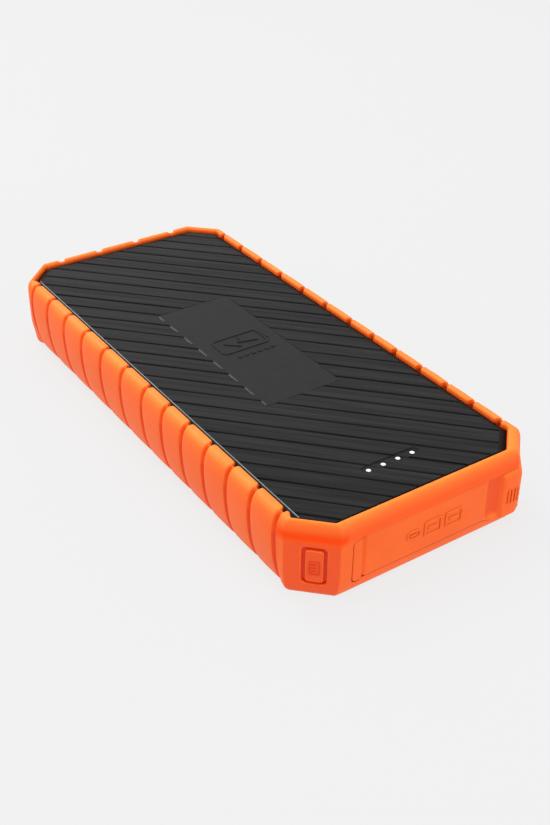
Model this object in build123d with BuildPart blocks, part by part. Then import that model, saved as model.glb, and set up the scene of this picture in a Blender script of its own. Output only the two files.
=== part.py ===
from build123d import *
import math
import os

# Rugged power bank: a black two-piece case in an orange rubber bumper sleeve, with a
# swing-out port flap and a push button on one corner. Millimetres.
# The origin is the centre of the footprint, on the plane it rests on. X runs across the
# width, Y along the length and Z up. The ports face -Y, which is the front; left is -X.

ROOT2 = math.sqrt(2)
OVERLAP = 0.2              # how far a post is sunk into the wall it stands on
HAIR = 0.02                # gap under a component that rests on a surface

# --- plan outline: the octagon inside the sleeve ------------------------------
HALF_WIDTH = 37.0
HALF_LENGTH = 86.2
CHAMFER_LEG = 8.0

# --- case ---------------------------------------------------------------------
CASE_GAP = 0.10            # sleeve to case, all round
WALL = 1.8
FLOOR_Z = 1.2              # underside of the case
INNER_FLOOR_Z = FLOOR_Z + 1.8
SPLIT_Z = 12.0             # where the two case shells meet
ROOF_Z = 20.8              # underside of the top cover's roof
BAND_OUT = 0.5             # band round the split that keys into the sleeve
BAND_Z0, BAND_Z1 = 10.0, 14.0
RIM_LOW_Z = 21.8           # outer foot of the top bevel
RIM_TOP_Z = 23.15          # top of the bevel
RIM_INSET = 2.2            # width of the bevel

# --- planks on the top --------------------------------------------------------
PLANK_PITCH = 6.132
PLANK_ANGLE = 3.9022       # direction the steps face, in radians from +X
PLANK_START = -75.77       # distance of the first step from the origin
PLANK_COUNT = 25
GROOVE_Z = 22.7            # bottom of the groove between planks
PLANK_LOW_Z = 22.95        # low side of each plank
PLANK_HIGH_Z = 23.12       # high side of each plank
FIELD_INSET = 2.45         # the planks stop this far inside the octagon
RECESS_Z = GROOVE_Z - 0.5  # floor of the recesses for the planks and the badge
BADGE_WIDTH, BADGE_LENGTH, BADGE_Y = 26.0, 64.4, 1.0
BADGE_Z = 23.05

# --- sleeve -------------------------------------------------------------------
# z, corner-block offset and rib offset, both outwards from the octagon's size
SLEEVE_PROFILE = [
    (0.00, 0.55, -0.60),
    (0.35, 1.25, 0.30),
    (1.60, 2.00, 1.20),
    (4.20, 2.20, 2.05),
    (8.50, 2.35, 2.75),
    (13.5, 2.40, 3.15),
    (18.5, 2.40, 3.15),
    (21.0, 2.25, 2.80),
    (22.6, 1.80, 2.05),
    (23.4, 1.15, 1.25),
    (23.7, 0.60, 0.70),
]
SLEEVE_GROOVE_DEPTH = 0.9
SLEEVE_GROOVE_WIDTH = 1.7
SIDE_GROOVES_Y = [73.6, 61.5, 48.7, 35.8, 22.4, 9.1, -4.3,
                  -16.3, -27.7, -39.6, -51.5, -63.1, -74.6]
BACK_GROOVES_X = [-22.2, -7.4, 7.4, 22.2]
RIB_END_Y = 76.6           # the ribs on the long sides run between -this and +this
BOTTOM_LIP = 7.0           # width of the sleeve's turned-in bottom edge
BOTTOM_LIP_TOP_Z = 1.15    # thickness of that bottom edge

# --- port window --------------------------------------------------------------
WINDOW_X0, WINDOW_X1 = -20.0, 20.6
WINDOW_Z0, WINDOW_Z1 = 5.8, 16.4
WINDOW_CENTRE = ((WINDOW_X0 + WINDOW_X1) / 2, (WINDOW_Z0 + WINDOW_Z1) / 2)
WINDOW_WIDTH = WINDOW_X1 - WINDOW_X0
WINDOW_HEIGHT = WINDOW_Z1 - WINDOW_Z0
WINDOW_RADIUS = 1.4

# --- port flap ----------------------------------------------------------------
POCKET_Y = -87.2           # floor of the sleeve's pocket for the flap
POCKET_GAP = 0.15          # above and below the flap
FLAP_OUTER_Y = -88.65
FLAP_INNER_Y = POCKET_Y - 0.08
FLAP_X0 = -21.30           # left end of the flap
FLAP_Z0, FLAP_Z1 = 4.30, 17.90
# The tab wraps the front right corner; its planes' distances from the Z axis.
TAB_OUTER = 85.8
TAB_INNER = 82.85
TAB_POCKET = 82.70
ANCHOR_X0, ANCHOR_X1 = -25.0, -21.46
ANCHOR_Z0, ANCHOR_Z1 = 3.55, 17.45
ANCHOR_CENTRE = ((ANCHOR_X0 + ANCHOR_X1) / 2, (ANCHOR_Z0 + ANCHOR_Z1) / 2)
ANCHOR_WIDTH = ANCHOR_X1 - ANCHOR_X0
ANCHOR_HEIGHT = ANCHOR_Z1 - ANCHOR_Z0
FOOT_WIDTH, FOOT_HEIGHT = 1.5, 6.2
FOOT_CENTRE = (-23.3, ANCHOR_CENTRE[1])
FOOT_SLOT_WIDTH = FOOT_WIDTH + 0.2
FOOT_SLOT_HEIGHT = FOOT_HEIGHT + 0.2

# --- main board ---------------------------------------------------------------
PCB_Z = 6.6
PCB_THICK = 1.6
PCB_TOP = PCB_Z + PCB_THICK
PART_Z = PCB_TOP + HAIR    # underside of the components

# --- sockets ------------------------------------------------------------------
MOUTH_Y = -84.3
SHELL_THICK = 0.30
USB_A_WIDTH, USB_A_HEIGHT, USB_A_DEPTH = 13.1, 5.72, 14.0
USB_C_WIDTH, USB_C_HEIGHT, USB_C_DEPTH = 8.94, 3.26, 7.4
USB_A_Z = PCB_TOP + 0.05 + USB_A_HEIGHT / 2
USB_A_LEFT = (-1.75, USB_A_Z)
USB_A_RIGHT = (13.05, USB_A_Z)
USB_C_CENTRE = (-14.5, PCB_TOP + 0.05 + USB_C_HEIGHT / 2)

# --- button, on the front left corner face ------------------------------------
CORNER_FACE = 84.0         # corner face, distance from the Z axis
CORNER_SHIFT = 34.93       # middle of the face, measured along it
BUTTON_Z = 10.3
STEM_Z = 10.15             # height of the button's stem and of the switch
BUTTON_SINK = 0.30         # how far the cap sits below the corner face
BUTTON_BACK = CORNER_FACE - 2.2

# --- charge lights ------------------------------------------------------------
LED_Y, LED_PITCH = -71.7, 5.0
LED_CENTRES = [((i - 1.5) * LED_PITCH, LED_Y) for i in range(4)]
LENS_RADIUS = 0.75
LED_BOARD_Z, LED_BOARD_THICK = 18.6, 0.8
LED_POST_Z = 19.5          # lower end of the posts over the light board

# --- cells --------------------------------------------------------------------
CELL_WIDTH, CELL_LENGTH, CELL_THICK = 60.0, 124.0, 7.8
CELL_FRONT_Y = -41.0
CELL_MID_Y = CELL_FRONT_Y + CELL_LENGTH / 2
LOWER_CELL_Z = 3.35
UPPER_CELL_Z = LOWER_CELL_Z + CELL_THICK + 0.30

# --- screws -------------------------------------------------------------------
CASE_SCREWS = [(side * 32.4, y) for side in (-1, 1) for y in (73.0, 28.0, -18.0, -61.0)]
PCB_SCREWS = [(-25.8, -54.0), (25.8, -54.0), (-24.6, -74.0), (25.8, -79.0)]
CASE_TOWER_RADIUS = 2.3


# ===========================================================================
# outlines and planes
# ===========================================================================
def octagon(offset):
    """Corner points of the plan octagon, moved outwards by offset."""
    x, y = HALF_WIDTH + offset, HALF_LENGTH + offset
    leg = CHAMFER_LEG + offset * (2 - ROOT2)
    return [(x, -y + leg), (x, y - leg), (x - leg, y), (-x + leg, y),
            (-x, y - leg), (-x, -y + leg), (-x + leg, -y), (x - leg, -y)]


def sleeve_outline(corner_offset, rib_offset):
    """Sleeve outline: the offset octagon with a rib along each long side."""
    corners = octagon(corner_offset)
    x, y = HALF_WIDTH + rib_offset, RIB_END_Y
    return [corners[0], (x, -y), (x, y), *corners[1:5], (-x, y), (-x, -y), *corners[5:]]


def level(z):
    """Horizontal plane facing up."""
    return Plane.XY.offset(z)


def front(y):
    """Upright plane at y, facing the front; its own axes are X and Z."""
    return Plane.XZ.offset(-y)


def corner_plane(distance, z):
    """Plane on the front left corner, facing out, at a distance from the Z axis.
    Its x axis runs along the corner face and its y axis is up."""
    unit = math.sqrt(0.5)
    origin = (unit * (CORNER_SHIFT - distance), -unit * (CORNER_SHIFT + distance), z)
    return Plane(origin=origin, x_dir=(unit, -unit, 0), z_dir=(-unit, -unit, 0))


# ===========================================================================
# helpers that work on the current builder
# A builder block inside a function does not join the caller's builder, so its result is
# handed to make_face or extrude by name.
# ===========================================================================
def fill(points, mode=Mode.ADD):
    """Closed polygon face in the current sketch."""
    with BuildLine() as border:
        Polyline(*points, close=True)
    make_face(border.line.edges(), mode=mode)


def prism(points, z, height, mode=Mode.ADD):
    """Upright prism on a polygon, in the current part; negative height goes down."""
    with BuildSketch(level(z)) as section:
        fill(points)
    extrude(section.sketch, amount=height, mode=mode)


def cylinders(centres, radius, z, height, mode=Mode.ADD):
    """One upright cylinder at each centre, in the current part."""
    with BuildSketch(level(z)) as section:
        with Locations(*centres):
            Circle(radius)
    extrude(section.sketch, amount=height, mode=mode)


def blocks(plane, width, height, depth, centres=((0, 0),), radius=0, mode=Mode.ADD):
    """One block at each centre, drawn on a plane; negative depth goes behind the plane."""
    with BuildSketch(plane) as section:
        with Locations(*centres):
            if radius:
                RectangleRounded(width, height, radius)
            else:
                Rectangle(width, height)
    extrude(section.sketch, amount=depth, mode=mode)


# ===========================================================================
# case
# ===========================================================================
def cut_front_openings():
    """Openings that both case shells share, cut from the current part."""
    outer_y, through = -88.0, -4.2
    step_y, step_depth, step_margin = -85.0, -1.3, 2.2
    # window for the ports
    blocks(front(outer_y), WINDOW_WIDTH, WINDOW_HEIGHT, through, [WINDOW_CENTRE],
           radius=WINDOW_RADIUS, mode=Mode.SUBTRACT)
    # step inside the front wall that takes the port bezel
    blocks(front(step_y), WINDOW_WIDTH + step_margin, WINDOW_HEIGHT + step_margin, step_depth,
           [WINDOW_CENTRE], mode=Mode.SUBTRACT)
    # slot for the flap anchor's foot
    blocks(front(outer_y), FOOT_SLOT_WIDTH, FOOT_SLOT_HEIGHT, through, [FOOT_CENTRE],
           mode=Mode.SUBTRACT)
    # pocket behind the button
    blocks(corner_plane(CORNER_FACE - 2.8, BUTTON_Z), 8.4, 13.4, 4, mode=Mode.SUBTRACT)


def gasket_outline(clearance, gap_width, gap_length):
    """Ring inside the case wall with a gap at the front, in the current sketch."""
    outer_inset, inner_inset = 0.70, 1.50
    gap_centre = (-1.3, -86)
    fill(octagon(-outer_inset - clearance))
    fill(octagon(-inner_inset + clearance), mode=Mode.SUBTRACT)
    with Locations(gap_centre):
        Rectangle(gap_width, gap_length, mode=Mode.SUBTRACT)


def lower_case():
    panel_gap, panel_depth = 0.15, 0.8
    pcb_tower_radius = 2.2
    screw_hole_radius, head_hole_radius, head_hole_depth = 1.15, 2.0, 1.3
    pilot_radius, pilot_depth = 0.85, 3.2
    rib_width, rib_thick, rib_height = 48, 1.2, 3.4
    foot_z = INNER_FLOOR_Z - OVERLAP

    with BuildPart() as shell:
        prism(octagon(-CASE_GAP), FLOOR_Z, SPLIT_Z - FLOOR_Z)
        prism(octagon(BAND_OUT - CASE_GAP), BAND_Z0, SPLIT_Z - BAND_Z0)
        # panel that fills the sleeve's bottom opening
        prism(octagon(-BOTTOM_LIP - panel_gap), FLOOR_Z, -panel_depth)
        # hollow
        prism(octagon(-CASE_GAP - WALL), INNER_FLOOR_Z, 30, Mode.SUBTRACT)
        # screw towers
        cylinders(CASE_SCREWS, CASE_TOWER_RADIUS, foot_z, SPLIT_Z - foot_z)
        cylinders(PCB_SCREWS, pcb_tower_radius, foot_z, PCB_Z - foot_z)
        # cross rib in front of the lower cell
        blocks(level(foot_z), rib_width, rib_thick, rib_height, [(0, CELL_FRONT_Y - 1.6)])
        # screw holes, with counterbores from below
        cylinders(CASE_SCREWS, screw_hole_radius, FLOOR_Z, 30, Mode.SUBTRACT)
        cylinders(CASE_SCREWS, head_hole_radius, FLOOR_Z, head_hole_depth, Mode.SUBTRACT)
        cylinders(PCB_SCREWS, pilot_radius, PCB_Z, -pilot_depth, Mode.SUBTRACT)
        cut_front_openings()
        # hole for the button's stem
        blocks(corner_plane(82.0, STEM_Z), 3.0, 1.9, -5, mode=Mode.SUBTRACT)
        # groove for the case gasket
        with BuildSketch(level(SPLIT_Z)):
            gasket_outline(clearance=0, gap_width=50.0, gap_length=12)
        extrude(amount=-0.8, mode=Mode.SUBTRACT)
    return shell.part


def plank_field():
    """Saw-tooth section swept across the whole top, trimmed to the field."""
    base_z = GROOVE_Z - 0.8
    groove_width, step_foot, step_back = 0.15, 0.40, 0.18
    facing_x, facing_y = math.cos(PLANK_ANGLE), math.sin(PLANK_ANGLE)
    points = [(PLANK_START - PLANK_PITCH, base_z)]
    for k in range(-1, PLANK_COUNT + 1):
        start = PLANK_START + k * PLANK_PITCH
        points += [
            (start, GROOVE_Z),
            (start + groove_width, GROOVE_Z),
            (start + step_foot, PLANK_LOW_Z),
            (start + PLANK_PITCH - step_back, PLANK_HIGH_Z),
        ]
    points.append((PLANK_START + (PLANK_COUNT + 1) * PLANK_PITCH, base_z))

    with BuildPart() as field:
        with BuildSketch(Plane(origin=(0, 0, 0), x_dir=(facing_x, facing_y, 0),
                               z_dir=(facing_y, -facing_x, 0))):
            fill(points)
        extrude(amount=110, both=True)
        prism(octagon(-FIELD_INSET), 15, 20, Mode.INTERSECT)
    return field.part


def top_cover():
    # corners of the bolt mark on the badge
    bolt = [(2.6, 11.5), (-5.2, 0.2), (-0.6, 0.2), (-2.6, -9.5), (5.2, 2.6), (0.6, 2.6)]
    bolt_height = 0.2
    light_slot_length, light_slot_width, light_slot_depth = 19.2, 3.0, 0.25
    pilot_radius, pilot_depth = 0.90, 6.5
    light_posts, light_post_radius = [(-11.0, LED_Y), (11.0, LED_Y)], 1.2
    badge_centre = (0, BADGE_Y)
    planks = plank_field()

    with BuildPart() as cover:
        prism(octagon(-CASE_GAP), SPLIT_Z, RIM_LOW_Z - SPLIT_Z)
        prism(octagon(BAND_OUT - CASE_GAP), SPLIT_Z, BAND_Z1 - SPLIT_Z)
        # bevelled rim
        with BuildSketch(level(RIM_LOW_Z)):
            fill(octagon(-CASE_GAP))
        with BuildSketch(level(RIM_TOP_Z)):
            fill(octagon(-RIM_INSET))
        loft(ruled=True)
        # planked field let into the rim
        prism(octagon(-FIELD_INSET), RECESS_Z, 5, Mode.SUBTRACT)
        add(planks)
        # flat badge panel with a bolt mark
        blocks(level(RECESS_Z), BADGE_WIDTH, BADGE_LENGTH, 5, [badge_centre],
               mode=Mode.SUBTRACT)
        blocks(level(RECESS_Z), BADGE_WIDTH, BADGE_LENGTH, BADGE_Z - RECESS_Z, [badge_centre])
        prism(bolt, BADGE_Z, bolt_height)
        # slot over the charge lights
        with BuildSketch(level(GROOVE_Z - light_slot_depth)):
            with Locations((0, LED_Y)):
                SlotOverall(light_slot_length, light_slot_width)
        extrude(amount=3, mode=Mode.SUBTRACT)
        # hollow
        prism(octagon(-CASE_GAP - WALL), SPLIT_Z, ROOF_Z - SPLIT_Z, Mode.SUBTRACT)
        # screw towers
        cylinders(CASE_SCREWS, CASE_TOWER_RADIUS, SPLIT_Z, ROOF_Z - SPLIT_Z + OVERLAP)
        cylinders(CASE_SCREWS, pilot_radius, SPLIT_Z, pilot_depth, Mode.SUBTRACT)
        # posts that carry the light board
        cylinders(light_posts, light_post_radius, LED_POST_Z, ROOF_Z - LED_POST_Z + OVERLAP)
        # holes for the lenses
        cylinders(LED_CENTRES, LENS_RADIUS + 0.04, LED_POST_Z, 6, Mode.SUBTRACT)
        cut_front_openings()
    return cover.part


def case_gasket():
    """Seal in the groove of the lower shell."""
    with BuildPart() as gasket:
        with BuildSketch(level(SPLIT_Z - 0.75)):
            gasket_outline(clearance=0.06, gap_width=50.4, gap_length=12.2)
        extrude(amount=0.72)
    return gasket.part


def case_screws():
    """Eight screws, driven from below."""
    head_z, head_radius, head_height = FLOOR_Z + 0.1, 1.9, 1.15
    shank_z, shank_radius, shank_length = FLOOR_Z + 0.4, 0.87, 16.0
    recess_length, recess_width, recess_depth = 2.2, 0.5, 0.7
    with BuildPart() as screws:
        cylinders(CASE_SCREWS, head_radius, head_z, head_height)
        cylinders(CASE_SCREWS, shank_radius, shank_z, shank_length)
        with BuildSketch(level(FLOOR_Z)):
            with Locations(*CASE_SCREWS):
                Rectangle(recess_length, recess_width)
                Rectangle(recess_width, recess_length)
        extrude(amount=recess_depth, mode=Mode.SUBTRACT)
    return screws.part


# ===========================================================================
# bumper sleeve
# ===========================================================================
def sleeve_grooves():
    """Cutting tool for the grooves: bars, less a core that follows the sleeve's skin."""
    side_x, side_reach = 41, 10
    back_y, back_reach = 89, 7.0
    with BuildPart() as tool:
        with BuildSketch(level(-1)):
            for y in SIDE_GROOVES_Y:
                with Locations((-side_x, y), (side_x, y)):
                    Rectangle(side_reach, SLEEVE_GROOVE_WIDTH)
            for x in BACK_GROOVES_X:
                with Locations((x, back_y)):
                    Rectangle(SLEEVE_GROOVE_WIDTH, back_reach)
        extrude(amount=26)
        for stations in zip(SLEEVE_PROFILE[:-1], SLEEVE_PROFILE[1:]):
            for z, corner, rib in stations:
                with BuildSketch(level(z)):
                    fill(sleeve_outline(corner - SLEEVE_GROOVE_DEPTH,
                                        rib - SLEEVE_GROOVE_DEPTH))
            loft(ruled=True, mode=Mode.SUBTRACT)
    return tool.part


def bumper_sleeve():
    band_gap = 0.1
    pocket_x0, pocket_x1 = FLAP_X0 - 1.2, 30.2
    pocket_z = FLAP_Z0 - POCKET_GAP
    pocket_height = FLAP_Z1 - FLAP_Z0 + 2 * POCKET_GAP
    anchor_margin, anchor_pocket_radius = 0.16, 1.6
    # plan of the space for the tab; its first two points lie on the 45 degree pocket floor
    tab_space = [
        (TAB_POCKET * ROOT2 + POCKET_Y, POCKET_Y),
        (40.5, 40.5 - TAB_POCKET * ROOT2),
        (46, -76.5),
        (46, -95),
        (28, -95),
        (28, POCKET_Y),
    ]
    button_hole_width, button_hole_height, button_hole_radius = 6.3, 11.7, 1.2
    relief_start, relief_end = 80.5, CORNER_FACE - 1.6
    grooves = sleeve_grooves()

    with BuildPart() as sleeve:
        for z, corner, rib in SLEEVE_PROFILE:
            with BuildSketch(level(z)):
                fill(sleeve_outline(corner, rib))
        loft(ruled=True)
        add(grooves, mode=Mode.SUBTRACT)
        # inside, keyed to the band round the case
        prism(octagon(0), BOTTOM_LIP_TOP_Z, 30, Mode.SUBTRACT)
        prism(octagon(BAND_OUT), BAND_Z0 - band_gap, BAND_Z1 - BAND_Z0 + 2 * band_gap,
              Mode.SUBTRACT)
        # bottom opening
        prism(octagon(-BOTTOM_LIP), -1, 5, Mode.SUBTRACT)
        # pocket for the flap and its anchor
        with BuildSketch(front(POCKET_Y)):
            with Locations(((pocket_x0 + pocket_x1) / 2, (FLAP_Z0 + FLAP_Z1) / 2)):
                Rectangle(pocket_x1 - pocket_x0, pocket_height)
            with Locations(ANCHOR_CENTRE):
                RectangleRounded(ANCHOR_WIDTH + anchor_margin, ANCHOR_HEIGHT + anchor_margin,
                                 anchor_pocket_radius)
        extrude(amount=6, mode=Mode.SUBTRACT)
        # pocket for the tab round the corner
        prism(tab_space, pocket_z, pocket_height, Mode.SUBTRACT)
        # window behind the flap, and slot for the anchor's foot
        with BuildSketch(front(-92)):
            with Locations(WINDOW_CENTRE):
                RectangleRounded(WINDOW_WIDTH, WINDOW_HEIGHT, WINDOW_RADIUS)
            with Locations(FOOT_CENTRE):
                Rectangle(FOOT_SLOT_WIDTH, FOOT_SLOT_HEIGHT)
        extrude(amount=-8, mode=Mode.SUBTRACT)
        # button hole, wider on the inside for the button's flange
        blocks(corner_plane(80.0, BUTTON_Z), button_hole_width, button_hole_height, 6,
               radius=button_hole_radius, mode=Mode.SUBTRACT)
        blocks(corner_plane(relief_start, BUTTON_Z), 8.0, 13.2, relief_end - relief_start,
               mode=Mode.SUBTRACT)
    return sleeve.part


# ===========================================================================
# button and its switch
# ===========================================================================
def power_button():
    cap_width, cap_height, cap_radius, cap_edge = 4.8, 10.0, 0.9, 0.35
    flange_width, flange_height, flange_radius, flange_thick = 7.4, 12.5, 1.0, 0.5
    stem_width, stem_height, stem_length = 2.5, 1.5, 2.8
    mark_width, mark_height, mark_line = 2.9, 4.6, 0.3
    bar_width, bar_height, bar_pitch = 1.4, 0.34, 1.05
    with BuildPart() as button:
        blocks(corner_plane(BUTTON_BACK, BUTTON_Z), cap_width, cap_height,
               CORNER_FACE - BUTTON_SINK - BUTTON_BACK, radius=cap_radius)
        outer_face = button.faces().sort_by(Axis((0, 0, 0), (-1, -1, 0)))[-1]
        fillet(outer_face.edges(), cap_edge)
        # flange that keeps the cap behind the sleeve
        blocks(corner_plane(BUTTON_BACK, BUTTON_Z), flange_width, flange_height,
               flange_thick, radius=flange_radius)
        blocks(corner_plane(CORNER_FACE - 4.9, STEM_Z), stem_width, stem_height, stem_length)
        # raised battery outline with three bars
        with BuildSketch(corner_plane(CORNER_FACE - BUTTON_SINK - 0.05, BUTTON_Z - 0.6)):
            RectangleRounded(mark_width, mark_height, 0.3)
            RectangleRounded(mark_width - 2 * mark_line, mark_height - 2 * mark_line, 0.2,
                             mode=Mode.SUBTRACT)
            with GridLocations(1, bar_pitch, 1, 3):
                Rectangle(bar_width, bar_height)
        extrude(amount=0.20)
    return button.part


PLUNGER_WIDTH, PLUNGER_HEIGHT = 2.6, 1.4


def switch_plunger():
    with BuildPart() as plunger:
        blocks(corner_plane(CORNER_FACE - 4.92, STEM_Z), PLUNGER_WIDTH, PLUNGER_HEIGHT, -3.2)
    return plunger.part


def switch_body():
    body_face = CORNER_FACE - 6.0
    width, height, depth = 6.0, 3.4, 3.6
    hole_margin, hole_depth = 0.12, 2.9
    with BuildPart() as body:
        blocks(corner_plane(body_face, PART_Z + height / 2), width, height, -depth)
        blocks(corner_plane(body_face, STEM_Z), PLUNGER_WIDTH + hole_margin,
               PLUNGER_HEIGHT + hole_margin, -hole_depth, mode=Mode.SUBTRACT)
    return body.part


# ===========================================================================
# flap: anchor, swinging flap with tab, seal frame
# ===========================================================================
def flap_anchor():
    with BuildPart() as anchor:
        blocks(front(POCKET_Y - 0.05), ANCHOR_WIDTH, ANCHOR_HEIGHT, 1.35, [ANCHOR_CENTRE],
               radius=1.5)
        blocks(front(POCKET_Y - 0.6), FOOT_WIDTH, FOOT_HEIGHT, -3.6, [FOOT_CENTRE])
    return anchor.part


def port_flap():
    tab_y = -89.4                      # foremost face of the tab
    dip_start = (20.6, FLAP_OUTER_Y)   # shallow dip between the flap and its tab
    dip_middle = (23.6, FLAP_OUTER_Y + 0.95)
    dip_end = (27.0, FLAP_OUTER_Y - 0.15)
    mark_z = 10.9
    ridge_centres = [(x, 9.7) for x in (29.5, 30.9, 32.2)]

    with BuildPart() as flap:
        # plan; the tab's 45 degree faces satisfy x - y = distance * ROOT2
        with BuildSketch(level(FLAP_Z0)):
            with BuildLine():
                Polyline((FLAP_X0, FLAP_INNER_Y), (FLAP_X0, FLAP_OUTER_Y), dip_start)
                Spline(dip_start, dip_middle, dip_end)
                Polyline(
                    dip_end,
                    (29.2, FLAP_OUTER_Y - 0.75),
                    (TAB_OUTER * ROOT2 + tab_y, tab_y),
                    (40.8, 40.8 - TAB_OUTER * ROOT2),
                    (40.6, -78.7),
                    (39.5, 39.5 - TAB_INNER * ROOT2),
                    (TAB_INNER * ROOT2 + FLAP_INNER_Y, FLAP_INNER_Y),
                    (FLAP_X0, FLAP_INNER_Y),
                )
            make_face()
        extrude(amount=FLAP_Z1 - FLAP_Z0)
        # rounded lower back corner of the tab, in (y, z)
        with BuildSketch(Plane.YZ.offset(28)):
            with BuildLine():
                Polyline((-76, FLAP_Z0 - 1), (-76, FLAP_Z0 + 5.2), (-79.0, FLAP_Z0 + 5.2))
                Spline((-79.0, FLAP_Z0 + 5.2), (-80.4, FLAP_Z0 + 1.6), (-84.6, FLAP_Z0))
                Polyline((-84.6, FLAP_Z0), (-84.6, FLAP_Z0 - 1), (-76, FLAP_Z0 - 1))
            make_face()
        extrude(amount=16, mode=Mode.SUBTRACT)
        # grip ridges on the tab
        blocks(front(tab_y + 0.1), 0.7, 5.6, 0.45, ridge_centres, radius=0.3)
        # raised port outlines: two wide sockets and one rounded one
        with BuildSketch(front(FLAP_OUTER_Y + 0.05)):
            with Locations((1.6, mark_z), (8.9, mark_z)):
                RectangleRounded(6.0, 4.8, 0.6)
                RectangleRounded(5.0, 3.8, 0.3, mode=Mode.SUBTRACT)
                Rectangle(3.4, 0.9)
            with Locations((-5.0, mark_z)):
                RectangleRounded(4.8, 2.8, 1.35)
                RectangleRounded(3.9, 1.9, 0.9, mode=Mode.SUBTRACT)
                Rectangle(2.2, 0.5)
        extrude(amount=0.25)
    return flap.part


def flap_seal():
    """Frame on the back of the flap that reaches into the port window."""
    width, height = WINDOW_WIDTH - 1.0, WINDOW_HEIGHT - 0.8
    bar, depth = 1.2, 2.15
    with BuildPart() as seal:
        with BuildSketch(front(FLAP_INNER_Y)):
            with Locations(WINDOW_CENTRE):
                RectangleRounded(width, height, 1.2)
                RectangleRounded(width - 2 * bar, height - 2 * bar, 0.6, mode=Mode.SUBTRACT)
        extrude(amount=-depth)
    return seal.part


# ===========================================================================
# port bezel and sockets
# ===========================================================================
def port_bezel():
    frame_margin, hole_margin, thick = 2.0, 0.2, 1.15
    with BuildPart() as bezel:
        with BuildSketch(front(-84.95)):
            with Locations(WINDOW_CENTRE):
                Rectangle(WINDOW_WIDTH + frame_margin, WINDOW_HEIGHT + frame_margin)
            with Locations(USB_A_LEFT, USB_A_RIGHT):
                Rectangle(USB_A_WIDTH + hole_margin, USB_A_HEIGHT + hole_margin,
                          mode=Mode.SUBTRACT)
            with Locations(USB_C_CENTRE):
                RectangleRounded(USB_C_WIDTH + hole_margin, USB_C_HEIGHT + hole_margin, 1.6,
                                 mode=Mode.SUBTRACT)
        extrude(amount=-thick)
    return bezel.part


def socket_shell(centre, width, height, depth, radius=0):
    """Thin metal can, open at the front."""
    back_thick = 0.4
    with BuildPart() as shell:
        blocks(front(MOUTH_Y), width, height, -depth, [centre], radius)
        blocks(front(MOUTH_Y), width - 2 * SHELL_THICK, height - 2 * SHELL_THICK,
               -depth + back_thick, [centre], max(radius - SHELL_THICK, 0), Mode.SUBTRACT)
    return shell.part


def usb_a_shell(centre):
    return socket_shell(centre, USB_A_WIDTH, USB_A_HEIGHT, USB_A_DEPTH)


def usb_c_shell():
    return socket_shell(USB_C_CENTRE, USB_C_WIDTH, USB_C_HEIGHT, USB_C_DEPTH, radius=1.58)


def usb_a_tongue(centre):
    """Tongue in the upper half of the socket, and the block behind it."""
    x, z = centre
    with BuildPart() as tongue:
        blocks(front(MOUTH_Y + 1.0), 11.1, 1.84, -12.5, [(x, z + 0.95)])
        blocks(front(MOUTH_Y + 11.8), 12.3, 4.9, -1.7, [centre])
    return tongue.part


def usb_c_tongue():
    """Tongue in the middle of the socket, and the block behind it."""
    with BuildPart() as tongue:
        blocks(front(MOUTH_Y + 0.9), 6.69, 0.70, -5.9, [USB_C_CENTRE])
        blocks(front(MOUTH_Y + 5.4), 8.2, 2.5, -1.5, [USB_C_CENTRE], radius=1.15)
    return tongue.part


# ===========================================================================
# main board and what sits on it
# ===========================================================================
def main_pcb():
    outline = [
        (-27.6, -83.3), (28.2, -83.3), (28.4, -83.1), (28.4, -49.6),
        (-28.4, -49.6), (-28.4, -66.4), (-33.6, -70.0), (-33.6, -77.6),
    ]
    hole_radius = 1.1
    with BuildPart() as board:
        with BuildSketch(level(PCB_Z)):
            fill(outline)
            with Locations(*PCB_SCREWS):
                Circle(hole_radius, mode=Mode.SUBTRACT)
        extrude(amount=PCB_THICK)
    return board.part


def pcb_screws():
    head_radius, head_height = 1.7, 1.1
    shank_radius, shank_top, shank_length = 0.82, PCB_TOP + 0.4, 4.6
    recess_length, recess_width, recess_depth = 2.0, 0.4, 0.6
    with BuildPart() as screws:
        cylinders(PCB_SCREWS, head_radius, PART_Z, head_height)
        cylinders(PCB_SCREWS, shank_radius, shank_top, -shank_length)
        with BuildSketch(level(PART_Z + head_height)):
            with Locations(*PCB_SCREWS):
                Rectangle(recess_length, recess_width)
                Rectangle(recess_width, recess_length)
        extrude(amount=-recess_depth, mode=Mode.SUBTRACT)
    return screws.part


def inductors():
    centres = [(-14.0, -61.5), (10.0, -61.5)]
    width, length, height = 7.2, 6.8, 4.0
    with BuildPart() as coils:
        blocks(level(PART_Z), width, length, height, centres, radius=0.8)
        fillet(coils.faces().group_by(Axis.Z)[-1].edges(), 0.5)
    return coils.part


def filter_capacitors():
    centres = [(-23.0, -62.5), (-1.8, -62.0), (20.0, -61.0)]
    radius, height = 3.0, 6.0
    with BuildPart() as cans:
        cylinders(centres, radius, PART_Z, height)
        chamfer(cans.faces().group_by(Axis.Z)[-1].edges(), 0.4)
    return cans.part


CHIP_ROW_Y = -53.6


def charge_controller():
    with BuildPart() as chip:
        blocks(level(PART_Z), 6.0, 6.0, 0.9, [(-8.0, CHIP_ROW_Y)])
    return chip.part


def power_switches():
    centres = [(x, CHIP_ROW_Y) for x in (2.0, 8.6, 15.2)]
    with BuildPart() as chips:
        blocks(level(PART_Z), 5.0, 6.0, 1.0, centres)
    return chips.part


# ===========================================================================
# charge lights
# ===========================================================================
def led_board():
    with BuildPart() as board:
        blocks(level(LED_BOARD_Z), 26.0, 7.0, LED_BOARD_THICK, [(0, LED_Y)])
    return board.part


def led_chips():
    with BuildPart() as chips:
        blocks(level(LED_BOARD_Z + LED_BOARD_THICK + HAIR), 1.6, 0.8, 0.55, LED_CENTRES)
    return chips.part


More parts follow.
